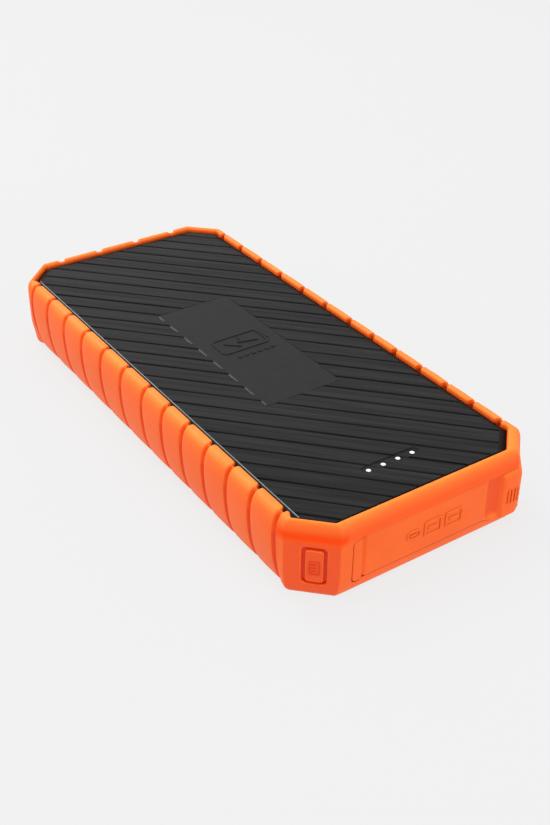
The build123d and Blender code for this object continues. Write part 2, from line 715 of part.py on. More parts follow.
def led_lenses():
    with BuildPart() as lenses:
        cylinders(LED_CENTRES, LENS_RADIUS, 20.1, 2.48)
        fillet(lenses.faces().group_by(Axis.Z)[-1].edges(), 0.25)
    return lenses.part


def led_ribbon():
    """Flat cable from the light board down to the main board, behind the sockets."""
    width, thick, gap = 6.0, 0.25, 0.05
    front_y, back_y = -70.0, -66.4
    top_z, bottom_z = LED_BOARD_Z - gap, PCB_TOP + gap
    with BuildPart() as ribbon:
        with BuildSketch(Plane.YZ.offset(-width / 2)):
            fill([
                (front_y, top_z),
                (back_y, top_z),
                (back_y, bottom_z),
                (back_y - thick, bottom_z),
                (back_y - thick, top_z - thick),
                (front_y, top_z - thick),
            ])
        extrude(amount=width)
    return ribbon.part


# ===========================================================================
# cells, their packing and wiring
# ===========================================================================
def cell(z):
    corner_radius, edge_radius = 2.0, 1.6
    with BuildPart() as pouch:
        blocks(level(z), CELL_WIDTH, CELL_LENGTH, CELL_THICK, [(0, CELL_MID_Y)],
               radius=corner_radius)
        layers = pouch.faces().group_by(Axis.Z)
        fillet(layers[-1].edges() + layers[0].edges(), edge_radius)
    return pouch.part


def cell_tape():
    """Two strips between the cells."""
    centres = [(-18, CELL_MID_Y), (18, CELL_MID_Y)]
    with BuildPart() as tape:
        blocks(level(LOWER_CELL_Z + CELL_THICK + HAIR), 14, 100, 0.26, centres)
    return tape.part


def foam_pads():
    """Three pads between the upper cell and the roof."""
    pitch, gap = 42, 0.05
    centres = [(0, CELL_MID_Y + i * pitch) for i in (-1, 0, 1)]
    cell_top_z = UPPER_CELL_Z + CELL_THICK
    with BuildPart() as pads:
        blocks(level(cell_top_z + gap), 44, 16, ROOF_Z - cell_top_z - 2 * gap, centres)
    return pads.part


def cell_tabs():
    """Two flat tabs at the front end of each cell."""
    centres = [(-10, CELL_FRONT_Y - 2.3), (10, CELL_FRONT_Y - 2.3)]
    with BuildPart() as tabs:
        for z in (LOWER_CELL_Z + CELL_THICK - 2.2, UPPER_CELL_Z + 1.9):
            blocks(level(z), 5.0, 4.5, 0.3, centres)
    return tabs.part


def protection_board():
    with BuildPart() as board:
        blocks(level(10.6), 46, 5.6, 0.8, [(0, CELL_FRONT_Y - 3.4)])
    return board.part


def lead(start_x, middle_x, end_x, start_drift):
    """Round wire running forward and down from the cells to the main board.
    start_drift is the sideways part of its starting direction."""
    radius = 0.75
    with BuildPart() as wire:
        with BuildLine() as path:
            Spline(
                (start_x, CELL_FRONT_Y - 5.2, 12.3),
                (middle_x, CELL_FRONT_Y - 7.6, 11.6),
                (end_x, -51.4, 9.4),
                tangents=[(start_drift, -1, 0.1), (0.1, -1, -0.3)],
            )
        with BuildSketch(Plane(origin=path.line @ 0, z_dir=path.line % 0)):
            Circle(radius)
        sweep()
    return wire.part


# ===========================================================================
# one STEP file for each piece
# ===========================================================================
PIECES = {
    "lower_case": lower_case(),
    "top_cover": top_cover(),
    "case_gasket": case_gasket(),
    "bumper_sleeve": bumper_sleeve(),
    "case_screws": case_screws(),
    "power_button": power_button(),
    "switch_plunger": switch_plunger(),
    "switch_body": switch_body(),
    "flap_anchor": flap_anchor(),
    "port_flap": port_flap(),
    "flap_seal": flap_seal(),
    "port_bezel": port_bezel(),
    "usb_a_left_shell": usb_a_shell(USB_A_LEFT),
    "usb_a_right_shell": usb_a_shell(USB_A_RIGHT),
    "usb_a_left_tongue": usb_a_tongue(USB_A_LEFT),
    "usb_a_right_tongue": usb_a_tongue(USB_A_RIGHT),
    "usb_c_shell": usb_c_shell(),
    "usb_c_tongue": usb_c_tongue(),
    "main_pcb": main_pcb(),
    "pcb_screws": pcb_screws(),
    "inductors": inductors(),
    "filter_capacitors": filter_capacitors(),
    "charge_controller": charge_controller(),
    "power_switches": power_switches(),
    "led_board": led_board(),
    "led_chips": led_chips(),
    "led_lenses": led_lenses(),
    "led_ribbon": led_ribbon(),
    "cell_lower": cell(LOWER_CELL_Z),
    "cell_upper": cell(UPPER_CELL_Z),
    "cell_tape": cell_tape(),
    "foam_pads": foam_pads(),
    "cell_tabs": cell_tabs(),
    "protection_board": protection_board(),
    "lead_positive": lead(start_x=20.0, middle_x=20.6, end_x=21.4, start_drift=0.1),
    "lead_negative": lead(start_x=-20.0, middle_x=-20.6, end_x=-19.6, start_drift=-0.1),
}

os.makedirs("parts", exist_ok=True)
for name, piece in PIECES.items():
    piece.label = name
    export_step(piece, f"parts/{name}.step")
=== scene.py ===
"""Eight-sided battery pack: black top cover in an orange rubber bumper sleeve.

Z is up and the length lies along Y. The front, at -Y, has the port flap, whose tab wraps the
front right corner (+X, -Y). The power button is on the front left corner (-X, -Y).
Meshes are laid out in millimetres, materials and the studio in metres.
"""
import math
from collections import namedtuple

import bmesh
import bpy
import numpy as np
from mathutils import Matrix, Vector


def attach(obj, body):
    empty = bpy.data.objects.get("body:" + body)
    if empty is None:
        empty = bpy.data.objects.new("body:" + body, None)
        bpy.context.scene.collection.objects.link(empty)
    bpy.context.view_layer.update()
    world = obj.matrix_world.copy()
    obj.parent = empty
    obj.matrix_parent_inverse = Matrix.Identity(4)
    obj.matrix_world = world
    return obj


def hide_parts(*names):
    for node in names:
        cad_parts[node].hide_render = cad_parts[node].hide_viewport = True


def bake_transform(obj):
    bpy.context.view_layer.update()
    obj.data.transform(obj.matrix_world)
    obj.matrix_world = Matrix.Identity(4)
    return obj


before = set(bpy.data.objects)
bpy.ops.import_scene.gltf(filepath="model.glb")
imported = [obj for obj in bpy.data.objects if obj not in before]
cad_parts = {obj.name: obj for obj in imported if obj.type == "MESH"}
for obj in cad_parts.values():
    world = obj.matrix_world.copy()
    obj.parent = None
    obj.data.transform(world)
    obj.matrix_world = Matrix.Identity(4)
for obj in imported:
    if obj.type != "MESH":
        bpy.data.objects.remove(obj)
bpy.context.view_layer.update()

scene = bpy.context.scene
MM = 0.001
Q = math.sqrt(0.5)
ROOT_2 = math.sqrt(2)
TAN_22 = math.tan(math.radians(22.5))

# ---------------------------------------------------------------------------
# shared measures, in millimetres
# ---------------------------------------------------------------------------
# inner octagon of the sleeve
HALF_WIDTH, HALF_LENGTH, CHAMFER = 37.0, 86.2, 8.0
CORNER_R = 1.1

# grooves: Y on the left and right sides, X on the back
SIDE_GROOVES = [73.6, 61.5, 48.7, 35.8, 22.4, 9.1, -4.3, -16.3, -27.7, -39.6, -51.5, -63.1, -74.6]
BACK_GROOVES = [-22.2, -7.4, 7.4, 22.2]
SIDE_EDGE, END_EDGE = 76.6, 28.0     # last fine station from the middle of a side

# planks of the top field: spacing, direction of rise (radians) and place of a line along it
PLANK_PITCH, PLANK_ANGLE, PLANK_START = 6.132, 3.9022, -75.77

LIGHT_Y, LIGHT_PITCH = -71.7, 5.0
BADGE_X0, BADGE_X1 = -13.0, 13.0
BADGE_Y0, BADGE_Y1 = -31.2, 33.2

# button corner: shift of its origin along the face, then places on the face
CORNER_MID = 34.93
BUTTON_U, BUTTON_Z = 0.6, 10.3
CAP_Z = BUTTON_Z - 0.2

# front face
WINDOW_U, WINDOW_Z = 0.3, 11.1
WINDOW_WIDTH, WINDOW_HEIGHT = 40.6, 10.6
ANCHOR_Z, FOOT_U = 10.5, -23.3


# ---------------------------------------------------------------------------
# outlines and the faces they are laid on
# ---------------------------------------------------------------------------
def smooth01(t):
    t = min(1.0, max(0.0, t))
    return t * t * (3 - 2 * t)


def rounded_rect(width, height, radius, steps, x=0.0, y=0.0):
    """Rounded rectangle, counter-clockwise, with a number of steps in each corner."""
    points = []
    for sx, sy, start in ((1, 1, 0), (-1, 1, 90), (-1, -1, 180), (1, -1, 270)):
        for i in range(steps + 1):
            angle = math.radians(start + 90 * i / steps)
            points.append((x + sx * (width / 2 - radius) + radius * math.cos(angle),
                           y + sy * (height / 2 - radius) + radius * math.sin(angle)))
    return points


def circle(radius, steps, x, y):
    angles = [2 * math.pi * i / steps for i in range(steps)]
    return [(x + radius * math.cos(a), y + radius * math.sin(a)) for a in angles]


def on_button_corner(u, z, d):
    """u runs along the face, d is the distance from the Z axis along the face's normal."""
    return (-Q * d + Q * CORNER_MID + Q * u, -Q * d - Q * CORNER_MID - Q * u, z)


def on_front(u, z, d):
    return (u, -d, z)


def on_top(u, v, d):
    return (u, v, d)


# ---------------------------------------------------------------------------
# mesh helpers
# ---------------------------------------------------------------------------
def add_mesh(name, verts, faces):
    mesh = bpy.data.meshes.new(name)
    mesh.from_pydata([(x * MM, y * MM, z * MM) for x, y, z in verts], [], faces)
    ob = bpy.data.objects.new(name, mesh)
    scene.collection.objects.link(ob)
    bm = bmesh.new()
    bm.from_mesh(mesh)
    bmesh.ops.remove_doubles(bm, verts=bm.verts, dist=1e-7)
    bmesh.ops.recalc_face_normals(bm, faces=bm.faces)
    bm.to_mesh(mesh)
    bm.free()
    return ob


def skin(name, loops, closed_path=False):
    """Closed skin through loops of the same length; capped when the path is open."""
    count, size = len(loops), len(loops[0])
    verts = [tuple(point) for loop in loops for point in loop]
    faces = []
    for i in range(count if closed_path else count - 1):
        a, b = i * size, ((i + 1) % count) * size
        for j in range(size):
            k = (j + 1) % size
            faces.append((a + j, a + k, b + k, b + j))
    if not closed_path:
        faces.append(tuple(range(size - 1, -1, -1)))
        faces.append(tuple((count - 1) * size + j for j in range(size)))
    return add_mesh(name, verts, faces)


def levels(name, place, rows, closed_path=False):
    """Skin through outlines given as (points, height)."""
    return skin(name, [[place(u, v, d) for u, v in points] for points, d in rows], closed_path)


def ring(name, place, outer, inner, d0, d1, soft=0.06):
    """Raised closed frame between two outlines of the same length, with eased top edges."""

    def mix(t):
        return [(p[0] * (1 - t) + q[0] * t, p[1] * (1 - t) + q[1] * t)
                for p, q in zip(outer, inner)]

    edge = 0.22
    rows = [(outer, d0), (outer, d1 - soft), (mix(edge), d1), (mix(1 - edge), d1),
            (inner, d1 - soft), (inner, d0)]
    return levels(name, place, rows, closed_path=True)


def pad(name, place, points, d0, d1, soft=0.08):
    """Raised closed pad with eased top edges."""
    cx = sum(p[0] for p in points) / len(points)
    cy = sum(p[1] for p in points) / len(points)
    size = max(max(abs(p[0] - cx), abs(p[1] - cy)) for p in points)

    def shrink(t):
        k = 1 - t / size
        return [(cx + (x - cx) * k, cy + (y - cy) * k) for x, y in points]

    return levels(name, place, [(points, d0), (points, d1 - soft),
                                (shrink(soft * 0.35), d1 - soft * 0.3), (shrink(soft), d1)])


def join(first, others):
    """Joins mesh objects into the first one."""
    bm = bmesh.new()
    bm.from_mesh(first.data)
    for other in others:
        bm.from_mesh(other.data)
    bm.to_mesh(first.data)
    bm.free()
    for other in others:
        bpy.data.objects.remove(other)
    return first


def carve(ob, place, rows, operation="DIFFERENCE"):
    """Cuts away, or keeps, what lies in a solid through (outline, height) rows."""
    cutter = levels("cutter", place, rows)
    modifier = ob.modifiers.new("cut", "BOOLEAN")
    modifier.object = cutter
    modifier.operation = operation
    modifier.solver = "EXACT"
    bpy.context.view_layer.update()
    graph = bpy.context.evaluated_depsgraph_get()
    mesh = bpy.data.meshes.new_from_object(ob.evaluated_get(graph))
    ob.modifiers.clear()
    ob.data = mesh
    bpy.data.objects.remove(cutter)


def drill(ob, place, outline, d0, d1):
    """Cuts a straight-walled opening."""
    carve(ob, place, [(outline, d0), (outline, d1)])


def finish_mesh(ob, sharp_angle):
    """Smooth shading, with hard edges where faces meet at more than the angle in degrees."""
    bm = bmesh.new()
    bm.from_mesh(ob.data)
    bmesh.ops.dissolve_degenerate(bm, dist=2e-7, edges=bm.edges)
    limit = math.radians(sharp_angle)
    for face in bm.faces:
        face.smooth = True
    for edge in bm.edges:
        edge.smooth = not (len(edge.link_faces) == 2 and edge.calc_face_angle(0.0) > limit)
    bm.to_mesh(ob.data)
    bm.free()
    modifier = ob.modifiers.new("weighted", "WEIGHTED_NORMAL")
    modifier.keep_sharp = True
    modifier.weight = 50


def dress(ob, material, slot, body, *stands_for):
    ob.data.materials.clear()
    ob.data.materials.append(material)
    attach(ob, body)
    if stands_for:
        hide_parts(*stands_for)


# ---------------------------------------------------------------------------
# the octagon path: sides and stations round it
# ---------------------------------------------------------------------------
CORNER_X, CORNER_Y = HALF_WIDTH - CHAMFER / 2, HALF_LENGTH - CHAMFER / 2
CORNER_HALF = CHAMFER * Q
# middle, outward normal, half length; counter-clockwise from the right side (+X)
SIDES = [
    ((HALF_WIDTH, 0.0), (1.0, 0.0), HALF_LENGTH - CHAMFER),
    ((CORNER_X, CORNER_Y), (Q, Q), CORNER_HALF),
    ((0.0, HALF_LENGTH), (0.0, 1.0), HALF_WIDTH - CHAMFER),
    ((-CORNER_X, CORNER_Y), (-Q, Q), CORNER_HALF),
    ((-HALF_WIDTH, 0.0), (-1.0, 0.0), HALF_LENGTH - CHAMFER),
    ((-CORNER_X, -CORNER_Y), (-Q, -Q), CORNER_HALF),
    ((0.0, -HALF_LENGTH), (0.0, -1.0), HALF_WIDTH - CHAMFER),
    ((CORNER_X, -CORNER_Y), (Q, -Q), CORNER_HALF),
]
RIGHT, BACK, LEFT, BUTTON_CORNER, FRONT = 0, 2, 4, 5, 6
# how far each side's skin stands out, as a share of the profile's own offset
SKIN_SHARE = [1.0, 1.0, 1.0, 0.62, 1.0, 0.70, 1.0, 1.50]
# how wide the cover's sloping rim is on each side
RIM_WIDTH = [1.0, 1.0, 1.0, 1.0, 1.0, 0.45, 0.45, 1.0]
RIM_SLOPE_START = -0.3
ARC_SHARES = (0.25, 0.5, 0.75)
CORNER_SHARES = (-1.0, -0.93, -0.8, -0.6, -0.4, -0.2, 0.0, 0.2, 0.4, 0.6, 0.8, 0.93, 1.0)

# A place round the octagon. along is a position in mm for "flat", a share from -1 to 1 of the
# side for "end", and a share of the rounding after the side for "arc".
Station = namedtuple("Station", "side kind along grooves", defaults=((),))


# offset rules: the offset a side takes for a profile's own offset
def plain_offset(side, offset):
    return offset


def skin_offset(side, offset):
    return offset if offset <= 0 else offset * SKIN_SHARE[side % 8]


def rim_offset(side, offset):
    if offset > RIM_SLOPE_START:
        return offset
    return RIM_SLOPE_START + (offset - RIM_SLOPE_START) * RIM_WIDTH[side % 8]


def point_at(station, offset, rule):
    """X and Y of a station at an offset outwards from the octagon."""
    (x, y), (nx, ny), half = SIDES[station.side]
    own = rule(station.side, offset)

    def reach(neighbour):
        """Distance from the side's middle to where the corner rounding begins."""
        other = rule(neighbour, offset)
        return half + ((other - CORNER_R) - (own - CORNER_R) * Q) / Q

    low, high = -reach(station.side - 1), reach(station.side + 1)
    along = station.along
    if station.kind == "arc":
        cx = x + nx * (own - CORNER_R) - ny * high
        cy = y + ny * (own - CORNER_R) + nx * high
        turn = math.radians(45 * along)
        return (cx + CORNER_R * (nx * math.cos(turn) - ny * math.sin(turn)),
                cy + CORNER_R * (nx * math.sin(turn) + ny * math.cos(turn)))
    if station.kind == "end":
        along = low + (high - low) * (along + 1) / 2
    elif offset < 0:
        along = low + (high - low) * (along / (half - TAN_22 * CORNER_R) + 1) / 2
    return x + nx * own - ny * along, y + ny * own + nx * along


def flat_positions(grooves, edge):
    """Positions along one flat side, finer at the grooves."""
    fine = (0.0, 0.10, 0.24, 0.42, 0.64, 0.88, 1.12, 1.4, 1.9)
    fine_reach, coarse_step, least_gap = 2.1, 1.7, 0.05
    found = set()
    for groove in grooves:
        for distance in fine:
            for position in (groove - distance, groove + distance):
                if abs(position) <= edge:
                    found.add(round(position, 4))
    marks = [-edge] + grooves + [edge]
    for a, b in zip(marks[:-1], marks[1:]):
        start = a + (fine_reach if a in grooves else 0)
        end = b - (fine_reach if b in grooves else 0)
        if end > start:
            steps = max(1, int((end - start) / coarse_step))
            for i in range(steps + 1):
                found.add(round(start + (end - start) * i / steps, 4))
    ordered = sorted(found)
    kept = [ordered[0]]
    for position in ordered[1:]:
        if position - kept[-1] > least_gap:
            kept.append(position)
    return kept


def make_stations():
    grooves_of = {RIGHT: sorted(SIDE_GROOVES), BACK: sorted(BACK_GROOVES),
                  LEFT: sorted(-y for y in SIDE_GROOVES), FRONT: []}
    out = []
    for side in range(8):
        if side in grooves_of:
            grooves = grooves_of[side]
            edge = SIDE_EDGE if side in (RIGHT, LEFT) else END_EDGE
            out.append(Station(side, "end", -1.0))
            out += [Station(side, "flat", s, grooves) for s in flat_positions(grooves, edge)]
            out.append(Station(side, "end", 1.0))
        else:
            out += [Station(side, "end", share) for share in CORNER_SHARES]
        out += [Station(side, "arc", share) for share in ARC_SHARES]
    return out


STATIONS = make_stations()


# ---------------------------------------------------------------------------
# materials, in metres
# ---------------------------------------------------------------------------
class Shader:
    """A material and short ways to add nodes to it."""

    def __init__(self, name):
        self.mat = bpy.data.materials.new(name)
        self.mat.use_nodes = True
        self.tree = self.mat.node_tree
        self.bsdf = next(n for n in self.tree.nodes if n.type == "BSDF_PRINCIPLED")
        self.coords = self.tree.nodes.new("ShaderNodeTexCoord").outputs["Object"]

    def node(self, kind, inputs=None, **props):
        """Adds a node; inputs maps names or numbers to sockets or values."""
        node = self.tree.nodes.new(kind)
        for key, value in props.items():
            setattr(node, key, value)
        for key, value in (inputs or {}).items():
            self.feed(node.inputs[key], value)
        return node

    def feed(self, socket, value):
        if isinstance(value, bpy.types.NodeSocket):
            self.tree.links.new(value, socket)
        else:
            socket.default_value = value

    def set(self, **inputs):
        """Feeds the main shader; underscores stand for spaces."""
        for key, value in inputs.items():
            self.feed(self.bsdf.inputs[key.replace("_", " ")], value)
        return self.mat

    def noise(self, scale, detail=4.0, rough=0.55, stretch=None, turn=0.0):
        """Noise; with a stretch it is first turned about Z and then scaled by axis."""
        vector = self.node("ShaderNodeMapping",
                           {"Vector": self.coords, "Rotation": (0, 0, turn)}).outputs["Vector"]
        if stretch:
            vector = self.node("ShaderNodeMapping",
                               {"Vector": vector, "Scale": stretch}).outputs["Vector"]
        return self.node("ShaderNodeTexNoise", {"Scale": scale, "Detail": detail,
                                                "Roughness": rough, "Vector": vector}).outputs["Fac"]

    def ramp(self, fac, dark, light, start=0.35, end=0.65):
        node = self.node("ShaderNodeValToRGB", {"Fac": fac})
        for stop, at, color in zip(node.color_ramp.elements, (start, end), (dark, light)):
            stop.position = at
            stop.color = (*color, 1)
        return node.outputs["Color"]

    def span(self, fac, low, high):
        """Maps 0..1 to low..high."""
        return self.node("ShaderNodeMapRange",
                         {"To Min": low, "To Max": high, "Value": fac}).outputs["Result"]

    def fade(self, value, start, end, curve="SMOOTHSTEP"):
        """Maps start..end to 0..1."""
        return self.node("ShaderNodeMapRange", {"From Min": start, "From Max": end, "Value": value},
                         interpolation_type=curve).outputs["Result"]

    def window(self, value, rise, fall):
        """1 between two fades, each given as (start, end)."""
        return self.times(self.fade(value, *rise), self.fade(value, *fall))

    def math(self, operation, *values):
        return self.node("ShaderNodeMath", dict(enumerate(values)), operation=operation).outputs[0]

    def times(self, a, b):
        return self.math("MULTIPLY", a, b)

    def toward_button(self, vector):
        """Component of a vector along the button corner's outward normal."""
        return self.node("ShaderNodeVectorMath", {0: vector, 1: (-Q, -Q, 0)},
                         operation="DOT_PRODUCT").outputs["Value"]

    def split(self, vector):
        return self.node("ShaderNodeSeparateXYZ", {0: vector}).outputs

    def mix(self, fac, a, b):
        # sockets 6, 7 and output 2 are the colour ones
        return self.node("ShaderNodeMix", {0: fac, 6: a, 7: b}, data_type="RGBA").outputs[2]

    def bump(self, height, strength, distance, under=None):
        inputs = {"Strength": strength, "Distance": distance, "Height": height}
        if under is not None:
            inputs["Normal"] = under
        return self.node("ShaderNodeBump", inputs).outputs["Normal"]


def orange_material():
    s = Shader("orange_rubber_soft")
    broad = s.noise(scale=55.0, detail=3.0)
    fine = s.noise(scale=5200.0, detail=5.0, rough=0.6)
    normal = s.node("ShaderNodeNewGeometry").outputs["Normal"]
    place = s.split(s.coords)
    x, y, z = place["X"], place["Y"], place["Z"]

    # painted light: lighter and yellower where the surface faces up, standing in for the sheen that
    # top faces catch
    painted_top_light = s.fade(s.split(normal)["Z"], 0.1, 0.95, curve="LINEAR")
    sides = s.ramp(broad, dark=(0.89, 0.118, 0.009), light=(0.94, 0.131, 0.012))
    lit_tops = s.ramp(broad, dark=(0.88, 0.205, 0.018), light=(0.92, 0.230, 0.024))
    color = s.mix(painted_top_light, sides, lit_tops)

    # painted shade: a deeper, redder colour in the shoulder under the lip at the front, strongest on
    # the button's corner, where the surface catches no sheen
    near = s.math("MAXIMUM", s.fade(s.toward_button(s.coords), 0.0802, 0.0824),
                  s.times(s.fade(y, -0.0790, -0.0845), 0.42))
    under_lip_shade = s.times(s.window(z, rise=(0.0166, 0.0190), fall=(0.0224, 0.0194)), near)
    under_lip_shade_strength = 1.0
    color = s.mix(s.times(under_lip_shade, under_lip_shade_strength), color, (0.97, 0.066, 0.003, 1))

    # painted shade: darker on the button's corner face and in the scoop of the flap, which turn away
    # from the light
    corner = s.times(s.fade(s.toward_button(normal), 0.86, 0.97), s.fade(z, 0.0184, 0.0170))
    corner = s.times(corner, s.fade(x, -0.0262, -0.0275))
    scoop = s.times(s.window(x, rise=(0.0207, 0.0212), fall=(0.0262, 0.0254)),
                    s.window(y, rise=(-0.08862, -0.08835), fall=(-0.0873, -0.08755)))
    scoop = s.times(scoop, s.window(z, rise=(0.0040, 0.0056), fall=(0.01785, 0.0176)))
    corner_scoop_shade_strength = 0.8
    corner_scoop_shade = s.math("MAXIMUM", s.times(corner, corner_scoop_shade_strength), s.times(scoop, corner_scoop_shade_strength))
    color = s.mix(corner_scoop_shade, color, (0.84, 0.075, 0.011, 1))

    # painted shade: darker, redder colour in grooves and gaps found by ambient occlusion, but not on
    # the lip, except at the left side
    open_share = s.node("ShaderNodeAmbientOcclusion", {"Distance": 0.0013}, samples=4).outputs["AO"]
    crease_shade = s.fade(open_share, 0.78, 0.38, curve="LINEAR")
    allowed = s.math("MAXIMUM", s.fade(z, 0.0222, 0.0205), s.fade(x, -0.0340, -0.0365))
    crease_shade_strength = 0.85
    crease_shade = s.times(s.times(crease_shade, allowed), crease_shade_strength)
    color = s.mix(crease_shade, color, (0.74, 0.040, 0.003, 1))

    return s.set(
        Base_Color=color,
        Roughness=s.span(fine, 0.46, 0.56),
        Normal=s.bump(fine, strength=0.10, distance=0.00004),
        Specular_IOR_Level=s.span(under_lip_shade, 0.24, 0.05),
        Subsurface_Weight=0.18,
        Subsurface_Radius=(1.0, 0.28, 0.10),
        Subsurface_Scale=0.0016,
    )


def cover_material():
    """Black, brushed along the planks."""
    s = Shader("black_brushed_plastic")
    turn = -(PLANK_ANGLE + math.pi / 2)
    streak = s.noise(scale=1.0, detail=3.0, rough=0.6, stretch=(55.0, 2100.0, 600.0), turn=turn)
    wide = s.noise(scale=1.0, detail=2.0, rough=0.5, stretch=(16.0, 560.0, 200.0), turn=turn)
    fine = s.noise(scale=6500.0, detail=3.0)
    return s.set(
        Base_Color=s.ramp(s.times(streak, wide), dark=(0.0035, 0.0035, 0.0037),
                          light=(0.0165, 0.0165, 0.0168), start=0.14, end=0.40),
        Roughness=s.span(streak, 0.40, 0.58),
        Normal=s.bump(streak, strength=0.16, distance=0.00003,
                      under=s.bump(fine, strength=0.05, distance=0.00002)),
        Specular_IOR_Level=0.135,
    )


def badge_material():
    s = Shader("black_matt_plastic")
    fine = s.noise(scale=4200.0)
    return s.set(
        Base_Color=s.ramp(s.noise(scale=300.0), dark=(0.0105, 0.0105, 0.0108),
                          light=(0.0125, 0.0125, 0.0128)),
        Roughness=s.span(fine, 0.50, 0.60),
        Normal=s.bump(fine, strength=0.12, distance=0.00002),
        Specular_IOR_Level=0.16,
    )


def gap_glow_material():
    """Painted glow and painted shade: red-orange of the gap round the button, with a faint light of
    its own, reddest at its top and bottom.
    """
    s = Shader("orange_rubber_gap_glow")
    grain = s.noise(scale=700.0)
    middle_z = 0.0101
    height = s.math("ABSOLUTE", s.math("SUBTRACT", s.split(s.coords)["Z"], middle_z))
    shaded_ends = s.fade(height, 0.0046, 0.0054)

    def blend(side, end):
        return s.mix(shaded_ends, s.ramp(grain, *side), s.ramp(grain, *end))

    return s.set(
        Base_Color=blend(side=((0.62, 0.056, 0.024), (0.66, 0.062, 0.027)),
                         end=((0.66, 0.008, 0.003), (0.70, 0.010, 0.004))),
        Roughness=s.span(grain, 0.5, 0.6),
        Emission_Color=blend(side=((0.46, 0.036, 0.016), (0.50, 0.040, 0.018)),
                             end=((0.50, 0.003, 0.001), (0.54, 0.004, 0.002))),
        Emission_Strength=0.24,
        Specular_IOR_Level=0.1,
    )


# painted shade: the raised cell mark is a darker red than the cap, so that its lines read as shaded
def mark_shade_material():
    s = Shader("orange_rubber_mark_shade")
    grain = s.noise(scale=700.0)
    return s.set(
        Base_Color=s.ramp(grain, dark=(0.72, 0.050, 0.009), light=(0.76, 0.056, 0.011)),
        Roughness=s.span(grain, 0.5, 0.6),
        Specular_IOR_Level=0.15,
    )


def rim_material(name, rough, specular):
    s = Shader(name)
    grain = s.noise(scale=900.0)
    return s.set(
        Base_Color=s.ramp(grain, dark=(0.004, 0.004, 0.0042), light=(0.007, 0.007, 0.0072)),
        Roughness=s.span(grain, rough, rough + 0.07),
        Normal=s.bump(s.noise(scale=5200.0), strength=0.03, distance=0.00001),
        Specular_IOR_Level=specular,
    )


def grained_material(name, dark, light, rough, metallic, scale, bump, distance):
    s = Shader(name)
    grain = s.noise(scale)
    return s.set(
        Base_Color=s.ramp(grain, dark, light),
        Roughness=s.span(grain, *rough),
        Metallic=metallic,
        Normal=s.bump(s.noise(scale * 3), bump, distance),
    )


def lens_material():
    s = Shader("light_lens_frosted")
    grain = s.noise(scale=2600.0)
    return s.set(
        Base_Color=s.ramp(grain, dark=(0.86, 0.87, 0.88), light=(0.97, 0.97, 0.97)),
        Roughness=s.span(grain, 0.25, 0.4),
        Normal=s.bump(grain, strength=0.15, distance=0.00003),
        # painted glow: a faint light of the lens's own makes the frosted lens read brighter
        Emission_Color=(1.0, 1.0, 1.0, 1.0),
        Emission_Strength=0.28,
        Subsurface_Weight=0.3,
        Subsurface_Radius=(1, 1, 1),
        Subsurface_Scale=0.0005,
    )


orange = orange_material()
cover_black = cover_material()
badge_black = badge_material()
orange_gap_glow = gap_glow_material()
orange_mark_shade = mark_shade_material()
rim_edge = rim_material("black_satin_edge", rough=0.18, specular=0.64)
rim_black = rim_material("black_satin_rim", rough=0.46, specular=0.10)

